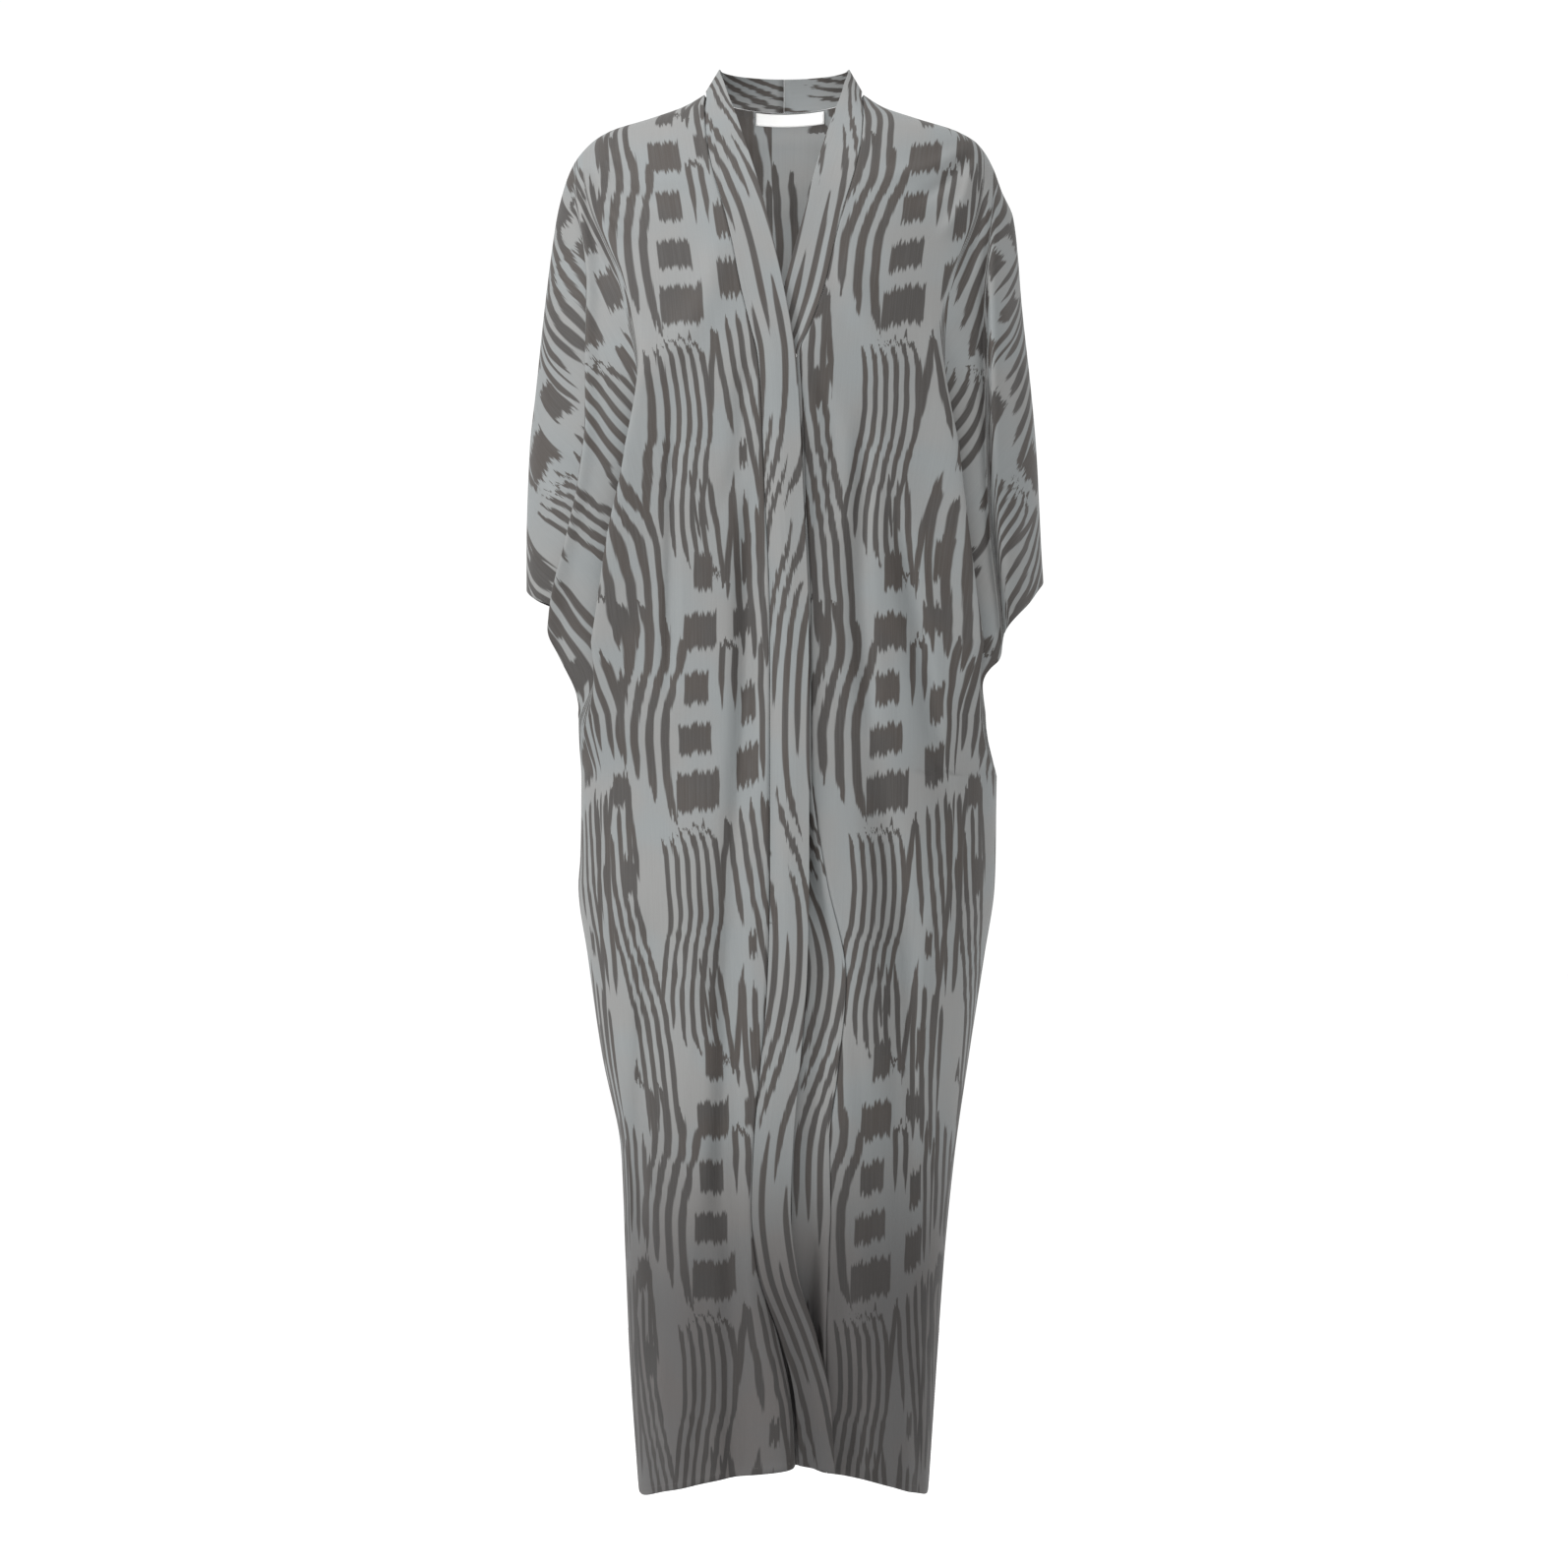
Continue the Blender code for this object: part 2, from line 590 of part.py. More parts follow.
for old in list(bpy.data.objects):
    bpy.data.objects.remove(old, do_unlink=True)
garment = bpy.data.collections.new("kimono_coat")
bpy.context.scene.collection.children.link(garment)
cloth = material_of("printed_cloth", CLOTH_COLOUR, 0.6)
band_cloth = material_of("band_cloth", BAND_COLOUR, 0.6)
add_front("left", "front_wearers_right", cloth)
add_front("right", "front_wearers_left", cloth)
add_back("back", cloth)
add_band("left", "band_wearers_right", band_cloth)
add_band("right", "band_wearers_left", band_cloth)
add_label("neck_label", material_of("label_weave", LABEL_COLOUR, 0.7))
add_hook("front_hook", material_of("hook_metal", HOOK_COLOUR, 0.35, 1.0))
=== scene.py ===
"""The dressed kimono coat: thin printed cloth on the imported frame, with its seams, hems and trims.

Metres in the scene, +Z up, front towards -Y, the wearer's right at -X. Sizes and tables are in
millimetres. A panel is a sheet of columns that run from the shoulder down. A column's step says where
it lies: 0 is the front opening or the middle of the back, 1 is the body's outer ridge and, lower down,
the side seam, and 2 is the line along the top of the arm.
"""

import logging
import math
from dataclasses import dataclass, field
from enum import Enum
from typing import Sequence

import bmesh
import bpy
import numpy as np
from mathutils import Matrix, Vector


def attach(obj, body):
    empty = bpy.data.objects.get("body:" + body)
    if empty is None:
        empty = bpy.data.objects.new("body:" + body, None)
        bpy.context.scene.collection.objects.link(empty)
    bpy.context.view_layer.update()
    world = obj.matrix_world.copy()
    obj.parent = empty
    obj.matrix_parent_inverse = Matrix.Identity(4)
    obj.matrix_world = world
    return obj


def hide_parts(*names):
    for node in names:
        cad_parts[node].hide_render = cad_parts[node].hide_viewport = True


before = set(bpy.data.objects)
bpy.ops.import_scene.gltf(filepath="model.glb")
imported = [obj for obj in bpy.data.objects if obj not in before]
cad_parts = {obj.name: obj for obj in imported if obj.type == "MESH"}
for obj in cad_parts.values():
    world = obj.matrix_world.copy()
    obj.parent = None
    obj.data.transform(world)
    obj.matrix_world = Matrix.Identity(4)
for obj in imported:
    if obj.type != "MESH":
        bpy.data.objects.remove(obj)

logging.basicConfig(level=logging.INFO, format="%(message)s")
log = logging.getLogger("kimono_coat")

MM = 0.001
Colour = tuple[float, float, float, float]
Points = tuple[tuple[float, float], ...]


class Side(Enum):
    """Which half of the coat, as the viewer sees it from the front."""

    LEFT = "left"
    RIGHT = "right"

    @property
    def sign(self) -> float:
        """-1 at the viewer's left and 1 at the viewer's right."""
        return -1.0 if self is Side.LEFT else 1.0


class Face(Enum):
    """The front or the back of the coat."""

    FRONT = "front"
    BACK = "back"

    @property
    def sign(self) -> float:
        """-1 for the front, which faces -Y, and 1 for the back."""
        return -1.0 if self is Face.FRONT else 1.0


def ease(t: np.ndarray) -> np.ndarray:
    """0 below 0, 1 above 1, and smooth between."""
    t = np.clip(t, 0.0, 1.0)
    return t * t * (3 - 2 * t)


def fold_wave(t: np.ndarray) -> np.ndarray:
    """An odd wave: -1 at -1, 1 at 1, and 0 in the middle and far away."""
    return t * np.exp((1 - t * t) / 2)


def unit(vector: np.ndarray) -> np.ndarray:
    """The vectors at a length of 1."""
    return vector / np.maximum(np.linalg.norm(vector, axis=-1, keepdims=True), 1e-6)


def through(xs: Sequence[float], ys: Sequence[float], x: np.ndarray) -> np.ndarray:
    """A smooth curve through the points, which never overshoots them.

    Args:
        xs: Where the points lie, in any order.
        ys: Their values.
        x: Where the curve is read.

    Returns:
        The curve's values at x.
    """
    order = np.argsort(xs)
    xs = np.asarray(xs, float)[order]
    ys = np.asarray(ys, float)[order]
    step = np.diff(xs)
    rise = np.diff(ys) / step
    slope = np.zeros(len(xs))
    heavy = (step[:-1] + 2 * step[1:]) / (3 * (step[:-1] + step[1:]))
    mixed = heavy * rise[1:] + (1 - heavy) * rise[:-1]
    same_way = rise[:-1] * rise[1:] > 0
    slope[1:-1][same_way] = (rise[:-1] * rise[1:])[same_way] / mixed[same_way]
    slope[0] = rise[0]
    slope[-1] = rise[-1]
    x = np.clip(x, xs[0], xs[-1])
    i = np.clip(np.searchsorted(xs, x, side="right") - 1, 0, len(step) - 1)
    t = (x - xs[i]) / step[i]
    start = ys[i] * (1 + 2 * t) * (1 - t) ** 2 + slope[i] * step[i] * t * (1 - t) ** 2
    end = ys[i + 1] * t * t * (3 - 2 * t) + slope[i + 1] * step[i] * t * t * (t - 1)
    return start + end


@dataclass(frozen=True)
class Table:
    """A short table with named columns, read as smooth curves along its first column."""

    names: tuple[str, ...]
    rows: tuple[tuple[float | str, ...], ...]

    def column(self, name: str) -> np.ndarray:
        """One named column."""
        return np.array([row[self.names.index(name)] for row in self.rows], float)

    def read(self, name: str, place: np.ndarray) -> np.ndarray:
        """A named column, read at a place along the first one."""
        return through(self.column(self.names[0]), self.column(name), place)

    def entries(self) -> list[dict[str, float | str]]:
        """The rows, each as a dict by column name."""
        return [dict(zip(self.names, row)) for row in self.rows]


# Half widths and depths of the horizontal sections, from the neck point down to the hem.
SECTIONS = Table(
    ("height", "left", "right", "front", "back"),
    (
        (0, 78, 78, 40, 60),
        (-12, 99, 97, 44, 63),
        (-24, 133, 132, 49, 67),
        (-36, 171, 170, 56, 72),
        (-48, 190, 190, 63, 79),
        (-71, 208, 205, 76, 91),
        (-95, 217, 214, 88, 101),
        (-120, 223, 225, 97, 109),
        (-160, 229, 230, 108, 115),
        (-200, 234, 233, 117, 120),
        (-293, 244, 243, 127, 119),
        (-350, 250, 248, 127, 117),
        (-450, 253, 253, 124, 115),
        (-487, 253, 255, 122, 115),
        (-560, 249, 250, 121, 117),
        (-610, 234, 236, 122, 119),
        (-670, 199, 209, 124, 121),
        (-749, 200, 208, 124, 123),
        (-777, 202, 207, 124, 123),
        (-845, 193, 197, 122, 122),
        (-942, 179, 182, 119, 119),
        (-1039, 160, 168, 116, 117),
        (-1136, 156, 158, 114, 116),
        (-1232, 152, 151, 113, 115),
        (-1380, 142, 141, 112, 114),
    ),
)
# The body's outer ridge, from the shoulder point to the foot of the cuff, as X.
BODY_RIDGE = Table(
    ("height", "left", "right"),
    (
        (-51, 196, 196),
        (-150, 168, 172),
        (-226, 146, 152),
        (-274, 141, 155),
        (-346, 145, 160),
        (-442, 163, 171),
        (-533, 176, 183),
        (-585, 185, 190),
        (-630, 198, 196),
        (-670, 199, 209),
    ),
)
# The radial fold that parts the hanging sleeve from the body, as X.
SLEEVE_FOLD = Table(
    ("height", "left", "right"),
    (
        (-66, 205, 205),
        (-114, 193, 200),
        (-200, 191, 198),
        (-322, 191, 199),
        (-377, 197, 200),
        (-434, 209, 203),
        (-513, 227, 212),
        (-560, 231, 216),
        (-610, 224, 220),
        (-670, 199, 209),
    ),
)
# Height of the cuff's edge, by step from the body's ridge to the top of the arm.
CUFF = Table(
    ("step", "left", "right"),
    (
        (1.00, -670, -670),
        (1.05, -625, -615),
        (1.12, -610, -592),
        (1.25, -594, -574),
        (1.35, -578, -566),
        (1.60, -536, -552),
        (1.70, -514, -532),
        (1.80, -501, -507),
        (1.90, -492, -487),
        (2.00, -486, -478),
    ),
)
# Height of the hem, by step from the front opening or the middle of the back to the side.
HEM = Table(
    ("step", "left_front", "right_front", "back"),
    (
        (0.00, -1334, -1345, -1352),
        (0.20, -1344, -1351, -1353),
        (0.40, -1354, -1360, -1356),
        (0.60, -1364, -1368, -1361),
        (0.85, -1373, -1373, -1368),
        (0.94, -1371, -1371, -1369),
        (1.00, -1361, -1363, -1366),
    ),
)
# Where each band is sewn to its front, and where its free edge lies, as X.
OPENING = Table(
    ("height", "left_seam", "right_seam", "left_edge", "right_edge"),
    (
        (22, -78.0, 78.0, -63.0, 63.5),
        (10, -78.0, 78.0, -58.5, 59.0),
        (0, -78.0, 78.0, -55.5, 56.5),
        (-22, -74.5, 74.5, -47.5, 49.0),
        (-50, -70.5, 70.5, -38.7, 39.5),
        (-82, -65.5, 65.0, -28.5, 30.0),
        (-116, -59.0, 58.0, -19.0, 22.0),
        (-158, -49.5, 48.0, -9.0, 10.5),
        (-200, -41.5, 38.5, 0.0, 0.0),
        (-240, -31.5, 24.0, 7.5, -6.5),
        (-262, -26.0, 15.0, 11.0, -10.0),
        (-300, -22.5, 17.0, 13.8, -13.0),
        (-390, -19.0, 20.5, 18.2, -15.0),
        (-526, -13.7, 26.0, 23.8, -12.0),
        (-660, -13.7, 26.4, 24.2, -11.6),
        (-768, -13.7, 41.0, 24.2, 3.5),
        (-864, -16.0, 60.0, 22.0, 22.0),
        (-963, -24.0, 51.0, 14.0, 13.0),
        (-1021, -29.0, 44.0, 9.0, 6.0),
        (-1088, -31.5, 45.0, 6.5, 7.0),
        (-1147, -25.5, 43.0, 12.5, 5.0),
        (-1213, -5.5, 41.0, 32.0, 3.5),
        (-1280, 7.5, 41.0, 45.5, 3.5),
        (-1380, 12.5, 42.0, 50.5, 4.5),
    ),
)
# How far the cloth stands out of the front at each seam and free edge. Less than 0 is inwards.
LIFT = Table(
    ("height", "left_seam", "right_seam", "left_edge", "right_edge"),
    (
        (0, 0, 0, 0, 0),
        (-180, 0, 0, 1.0, -2.0),
        (-230, 0, 0, 3.0, -4.0),
        (-300, 0, 0, 3.0, -4.0),
        (-380, 0, 0, 6.0, -12.0),
        (-720, 0, 0, 6.0, -12.0),
        (-900, 0, 0, 3.0, -6.0),
        (-1060, 0, 0, 2.0, -6.0),
        (-1200, -4, -20, -6.0, -25.0),
        (-1380, -5, -24, -8.0, -29.0),
    ),
)
# The band's free edge round the side of the neck: how far forward it lies.
NECK_EDGE = Table(
    ("height", "forward"),
    ((25, 1), (10, 15), (0, 24), (-12, 34), (-28, 47), (-50, 60), (-82, 79), (-110, 92)),
)
# Soft upright folds. Each line passes three X positions, at its top, its middle and its foot.
FOLDS = Table(
    ("face", "top", "foot", "x_top", "x_middle", "x_foot", "out", "width"),
    (
        ("front", -290, -660, 78, 73, 86, -9, 10),
        ("front", -580, -1220, 80, 109, 112, -13, 15),
        ("front", -370, -780, 100, 134, 166, -9, 10),
        ("front", -1150, -1500, 114, 130, 138, -5, 7),
        ("front", -340, -800, -34, -37, -51, -10, 11),
        ("front", -700, -1140, -46, -57, -63, -10, 12),
        ("front", -290, -620, -106, -109, -112, -5, 6),
        ("front", -800, -1180, -133, -141, -147, -7, 8),
        ("front", -1020, -1500, -54, -50, -46, -9, 11),
        ("front", -640, -1500, 78, 72, 86, 6, 18),
        ("front", -640, -1500, -92, -96, -98, 6, 20),
        ("back", -240, -1500, -64, -56, -70, -10, 15),
        ("back", -330, -1500, 42, 50, 60, -10, 13),
        ("back", -420, -1500, 104, 112, 112, -9, 12),
        ("back", -380, -1500, -118, -122, -118, -10, 13),
        ("back", -700, -1500, -6, 0, 4, 8, 20),
    ),
)
# Small creases that the hand would press in, each a line from one point to another.
CREASES = Table(
    ("face", "x_from", "z_from", "x_to", "z_to", "out", "width"),
    (
        ("front", -190, -72, -150, -150, 2.4, 6),
        ("front", -196, -76, -172, -190, -2.0, 5),
        ("front", -184, -66, -126, -118, -1.8, 6),
        ("front", -178, -62, -98, -96, 1.4, 7),
        ("front", -200, -84, -186, -230, 1.6, 5),
        ("front", 190, -72, 154, -146, 2.2, 6),
        ("front", 197, -76, 176, -196, -2.0, 5),
        ("front", 184, -66, 128, -112, -1.8, 6),
        ("front", 178, -60, 96, -90, 1.3, 7),
        ("front", -60, -150, -120, -300, 1.8, 16),
        ("front", 56, -160, 118, -300, 1.8, 15),
        ("front", -30, -270, -58, -420, -2.0, 9),
        ("front", 34, -280, 52, -430, -2.0, 9),
        ("front", -150, -1010, -128, -1170, -2.2, 8),
        ("front", -72, -900, -84, -1180, 2.2, 12),
        ("front", 150, -760, 128, -1010, 2.6, 12),
        ("front", 66, -900, 74, -1180, -2.4, 12),
        ("front", 22, -1120, 60, -1330, 3.0, 13),
        ("front", -120, -1210, -104, -1370, 2.4, 11),
        ("front", -84, -1240, -78, -1360, -1.8, 9),
        ("front", 92, -1220, 98, -1370, 2.2, 11),
        ("front", 66, -1230, 60, -1360, -1.8, 9),
        ("front", -228, -250, -210, -420, -3.0, 10),
        ("front", -236, -380, -216, -500, 2.2, 9),
        ("front", 228, -250, 216, -430, -3.0, 10),
        ("front", 238, -390, 224, -490, 2.2, 9),
        ("front", -188, -700, -150, -830, 2.4, 14),
        ("front", 196, -700, 168, -820, 2.4, 14),
        ("back", -190, -78, -140, -190, 2.4, 9),
        ("back", 190, -78, 138, -184, 2.4, 9),
        ("back", -60, -40, -104, -200, 2.0, 15),
        ("back", 58, -40, 108, -196, 2.0, 15),
        ("back", -14, -60, -26, -330, -2.4, 14),
        ("back", 24, -80, 18, -300, 2.0, 16),
        ("back", -92, -420, -84, -760, 3.0, 17),
        ("back", 84, -380, 78, -700, 3.0, 17),
        ("back", -150, -690, -134, -980, -3.0, 14),
        ("back", 150, -700, 138, -1000, -3.0, 14),
        ("back", -40, -900, -34, -1250, 2.4, 14),
        ("back", 30, -980, 36, -1300, -2.4, 13),
        ("back", 214, -260, 222, -440, -3.0, 12),
        ("back", -216, -270, -222, -430, -3.0, 12),
    ),
)
# Puckers beside the open vents: their side of the coat, height, height of the ripple, and depth.
PUCKERS = Table(
    ("side", "height", "width", "out"),
    (
        (1, -1228, 9, 2.2),
        (1, -1246, 7, -2.4),
        (1, -1262, 8, 2.4),
        (1, -1280, 8, -1.6),
        (-1, -1242, 9, 2.0),
        (-1, -1260, 7, -2.2),
        (-1, -1276, 8, 1.8),
        (-1, -1322, 12, -1.4),
        (1, -1330, 12, 1.4),
    ),
)
# How far inwards the weave has swung at each height, as the cloth hangs from the shoulders.
GRAIN_TILT = Table(
    ("height", "inwards"),
    (
        *((0, 44), (-51, 38), (-120, 27), (-196, 17), (-350, 5)),
        *((-477, -1), (-650, 0), (-1068, -14), (-1380, -16)),
    ),
)
PLEAT_NAMES = ("lean", "out", "width_before", "width_after")
BODY_STEPS = (0, 0.06, 0.13, 0.21, 0.29, 0.37, 0.45, 0.53, 0.61, 0.69, 0.76, 0.82, 0.87, 0.91, 0.955, 1.0)
SLEEVE_STEPS = (
    *(1.05, 1.11, 1.18, 1.27, 1.38, 1.49, 1.57, 1.63),
    *(1.67, 1.70, 1.73, 1.765, 1.81, 1.87, 1.94, 2.0),
)


@dataclass(frozen=True)
class WornForm:
    """The form that the cloth takes on the shoulders: every point of every panel comes from here."""

    neck_half_width: float = 78.0
    back_neck_drop: float = 10.0
    shoulder_point: float = 196.0
    pleat_start: float = 205.0
    overarm_start: float = 222.0
    overarm_top: float = -95.0
    seam_gap: float = 0.3
    shoulder_gap: float = 0.12
    shoulder_fade: float = 20.0
    shoulder_reach: float = 130.0
    shoulder_pitch: float = 0.5
    top_reach: float = 130.0
    sleeve_fold_step: float = 1.7
    cuff_foot: float = -670.0
    vent_top: float = -1235.0
    vent_open: float = 4.0
    vent_run: float = 60.0
    crease_depth: float = 1.8
    crease_fades: tuple[float, float] = (0.3, 0.4)
    crease_at_ends: float = 0.3
    crease_bend: float = 0.5
    crease_turn: float = 5.0
    crease_widths: tuple[float, float] = (0.8, 0.5)
    pucker_reach: float = 16.0
    drift_depth: float = 0.5
    drift_fade: float = 120.0
    fold_fades: tuple[float, float] = (0.3, 0.25)
    fold_side_fade: float = 2.0
    crease_side_fade: float = 4.0
    crease_at_side: float = 0.25
    edge_side_fade: float = 3.0
    lift_reach: dict[Side, float] = field(default_factory=lambda: {Side.LEFT: 0.10, Side.RIGHT: 0.42})
    body_pleat: Points = ((-226, 0.0), (-350, 1.0), (-540, 1.0), (-610, 0.0))
    sleeve_pleat: Points = ((-115, 0.0), (-170, 0.6), (-260, 1.0), (-480, 1.0), (-600, 0.4))
    body_pleat_size: dict[Face, tuple[float, ...]] = field(
        default_factory=lambda: {Face.FRONT: (25, 9, 0.10, 0.17), Face.BACK: (17, 7, 0.10, 0.17)}
    )
    sleeve_pleat_size: dict[Face, tuple[float, ...]] = field(
        default_factory=lambda: {Face.FRONT: (13, 8, 0.075, 0.055), Face.BACK: (12, 7, 0.075, 0.055)}
    )
    turned_pleat: tuple[Side, Face] = (Side.RIGHT, Face.FRONT)
    pleat_overhang: float = 2.1
    pleat_flat: float = 0.7
    pleat_room: tuple[float, float] = (4.0, 8.0)
    wave_slope: float = 1.65
    step_probe: float = 0.012
    roll_top: float = -1110.0
    roll_full: float = -1290.0
    roll_out: float = 13.0
    roll_over: float = 12.0
    roll_width: float = 0.09
    row_spread: float = 0.6
    hem_rows: tuple[float, ...] = (7.0, 6.0, 3.0)
    hem_ridge: float = 0.45

    def half_width(self, side: Side, z: np.ndarray) -> np.ndarray:
        """Half the width of the section at height z."""
        return SECTIONS.read(side.value, z)

    def wide_at(self, x: np.ndarray, z: np.ndarray) -> np.ndarray:
        """Half the width at height z, on the side where x lies."""
        return np.where(x < 0, self.half_width(Side.LEFT, z), self.half_width(Side.RIGHT, z))

    def soft_folds(self, face: Face, x: np.ndarray, z: np.ndarray) -> np.ndarray:
        """How far the soft upright folds move the cloth outwards.

        Args:
            face: Front or back.
            x: Signed distances from the middle.
            z: Heights.

        Returns:
            The distances outwards.
        """
        out = np.zeros(np.broadcast(x, z).shape)
        for fold in FOLDS.entries():
            if fold["face"] != face.value:
                continue
            t = (fold["top"] - z) / (fold["top"] - fold["foot"])
            line = through((0.0, 0.5, 1.0), (fold["x_top"], fold["x_middle"], fold["x_foot"]), t)
            inside = ease(t / self.fold_fades[0]) * ease((1 - t) / self.fold_fades[1])
            out = out + fold["out"] * inside * np.exp(-(((x - line) / fold["width"]) ** 2))
        return out

    def creases(self, face: Face, x: np.ndarray, z: np.ndarray) -> np.ndarray:
        """How far the small creases and the vents' puckers move the cloth outwards.

        Args:
            face: Front or back.
            x: Signed distances from the middle.
            z: Heights.

        Returns:
            The distances outwards.
        """
        out = np.zeros(np.broadcast(x, z).shape)
        fade_in, fade_out = self.crease_fades
        narrow, more = self.crease_widths
        for row in CREASES.entries():
            if row["face"] != face.value:
                continue
            run = np.array([row["x_to"] - row["x_from"], row["z_to"] - row["z_from"]], float)
            length = np.hypot(*run)
            along = ((x - row["x_from"]) * run[0] + (z - row["z_from"]) * run[1]) / length**2
            aside = ((x - row["x_from"]) * run[1] - (z - row["z_from"]) * run[0]) / length
            inside = ease(along / fade_in + self.crease_at_ends)
            inside = inside * ease((1 - along) / fade_out + self.crease_at_ends)
            bend = row["width"] * self.crease_bend * np.sin(along * self.crease_turn + row["x_from"])
            width = row["width"] * (narrow + more * np.clip(along, 0, 1))
            out = out + self.crease_depth * row["out"] * inside * np.exp(-(((aside - bend) / width) ** 2))
        for row in PUCKERS.entries():
            edge = np.exp(-(((np.abs(x) - self.wide_at(x, z)) / self.pucker_reach) ** 2))
            edge = edge * (np.sign(x) == row["side"])
            out = out + row["out"] * edge * np.exp(-(((z - row["height"]) / row["width"]) ** 2))
        return out + self.drift(x, z)

    def drift(self, x: np.ndarray, z: np.ndarray) -> np.ndarray:
        """The slight unevenness of hung cloth: slow waves that fade out towards the neck."""
        waves = np.sin(x * 0.061 + 1.3 * np.sin(z * 0.0137)) * np.sin(z * 0.0213 + x * 0.017)
        return self.drift_depth * waves * ease(-z / self.drift_fade)

    def section_point(self, face: Face, x: np.ndarray, z: np.ndarray, small: float = 1.0) -> np.ndarray:
        """A point of the worn form: a half ellipse with the folds on it.

        Args:
            face: Front or back.
            x: Signed distances from the middle.
            z: Heights.
            small: Share of the small creases that is added.

        Returns:
            The points, with X, Y and Z along the last axis.
        """
        wide = self.wide_at(x, z)
        deep = SECTIONS.read(face.value, z)
        roundness = np.sqrt(np.clip(1 - (x / wide) ** 2, 0, 1))
        folds = self.soft_folds(face, x, z) * ease(roundness * self.fold_side_fade)
        near_side = ease(roundness * self.crease_side_fade + self.crease_at_side)
        folds = folds + small * self.creases(face, x, z) * near_side
        vent = self.vent_open * ease((self.vent_top - z) / self.vent_run)
        shoulder = self.shoulder_gap * ease((z - self.overarm_top) / self.shoulder_fade + 1)
        edge = self.seam_gap / 2 + (vent + shoulder) * (1 - ease(roundness * self.edge_side_fade))
        return np.stack([x + 0 * z, face.sign * (deep * roundness + folds + edge), z + 0 * x], axis=-1)

    def shoulder_height(self, side: Side, x: np.ndarray) -> np.ndarray:
        """Height of the shoulder line at x: the outline's widths read the other way round."""
        heights = np.arange(0, -self.shoulder_reach, -self.shoulder_pitch)
        return np.interp(x, self.half_width(side, heights), heights)

    def top_of(self, side: Side, face: Face, c: np.ndarray) -> tuple[np.ndarray, np.ndarray]:
        """Where columns start, on the neckline, the shoulder or the top of the arm.

        Args:
            side: The half of the coat.
            face: Front or back.
            c: The columns' steps.

        Returns:
            Their distances from the middle, and their heights.
        """
        inner = self.neck_half_width if face is Face.FRONT else 0.0
        steps = (0, 1, self.sleeve_fold_step, 2)
        x = np.interp(c, steps, (inner, self.shoulder_point, self.pleat_start, self.overarm_start))
        neck = -self.back_neck_drop * (1 - (x / self.neck_half_width) ** 2)
        return x, np.where(x < self.neck_half_width, neck, self.shoulder_height(side, x))

    def across_at(self, side: Side, face: Face, c: np.ndarray, z: np.ndarray) -> np.ndarray:
        """Distances of columns from the middle, below the reach of their tops.

        Args:
            side: The half of the coat.
            face: Front or back.
            c: The columns' steps.
            z: Heights.

        Returns:
            The distances, shared out by angle round the section.
        """
        wide = self.half_width(side, z)
        seam = side.sign * OPENING.read(side.value + "_seam", z)
        inner = seam if face is Face.FRONT else 0 * z
        ridge = np.where(z < self.cuff_foot, wide, BODY_RIDGE.read(side.value, z))
        fold = np.where(z < self.cuff_foot, wide, SLEEVE_FOLD.read(side.value, z))
        turns = [np.arcsin(np.clip(x / wide, -1, 1)) for x in (inner, ridge, fold, wide)]
        steps = (0.0, 1.0, self.sleeve_fold_step, 2.0)
        turn = turns[0]
        for start, end, before, after in zip(steps, steps[1:], turns, turns[1:]):
            turn = turn + (after - before) * np.clip((c - start) / (end - start), 0, 1)
        return wide * np.sin(turn)

    def place_of(self, side: Side, face: Face, c: np.ndarray, z: np.ndarray) -> np.ndarray:
        """Where columns lie at a height, before the pleats.

        Args:
            side: The half of the coat.
            face: Front or back.
            c: The columns' steps.
            z: Heights.

        Returns:
            Their signed X.
        """
        x_top, z_top = self.top_of(side, face, c)
        reach = self.top_reach * np.clip((2 - c) / (2 - self.sleeve_fold_step), 0.02, 1)
        x = x_top + (self.across_at(side, face, c, z) - x_top) * ease((z_top - z) / reach)
        return side.sign * np.minimum(x, self.half_width(side, z))

    def plain_point(self, side: Side, face: Face, c: np.ndarray, z: np.ndarray, small: float) -> np.ndarray:
        """Points of columns at height z, before the pleats."""
        return self.section_point(face, self.place_of(side, face, c, z), z, small)

    def pleated_point(self, side: Side, face: Face, c: np.ndarray, z: np.ndarray) -> np.ndarray:
        """Points of columns at height z, with the radial pleats of the lowered sleeve.

        Args:
            side: The half of the coat.
            face: Front or back.
            c: The columns' steps.
            z: Heights.

        Returns:
            The points, with X, Y and Z along the last axis.
        """
        point = self.plain_point(side, face, c, z, 1.0)
        probe = self.plain_point(side, face, c + self.step_probe, z, 0.0)
        probe = probe - self.plain_point(side, face, c - self.step_probe, z, 0.0)
        probe[..., 2] = 0
        size = np.linalg.norm(probe, axis=-1, keepdims=True) / (2 * self.step_probe)
        along = unit(probe)
        turn = side.sign * face.sign
        out = np.stack([-turn * along[..., 1], turn * along[..., 0], 0 * z], axis=-1)
        facing = -1.0 if (side, face) == self.turned_pleat else 1.0
        pleats = (
            (1.0, self.body_pleat_size[face], self.body_pleat, 1.0),
            (self.sleeve_fold_step, self.sleeve_pleat_size[face], self.sleeve_pleat, facing),
        )
        for at, sizes, rows, way in pleats:
            pleat = dict(zip(PLEAT_NAMES, sizes))
            power = np.interp(-z, [-row[0] for row in rows], [row[1] for row in rows])
            width = np.where(c < at, pleat["width_before"], pleat["width_after"])
            wave = (fold_wave((c - at) / width) * power)[..., None]
            room = width[..., None] * size
            share = ease((room - self.pleat_room[0]) / self.pleat_room[1])
            overhang = self.pleat_flat + (self.pleat_overhang - self.pleat_flat) * share
            lean = np.minimum(pleat["lean"], overhang * room / self.wave_slope)
            rise = np.minimum(pleat["out"], room)
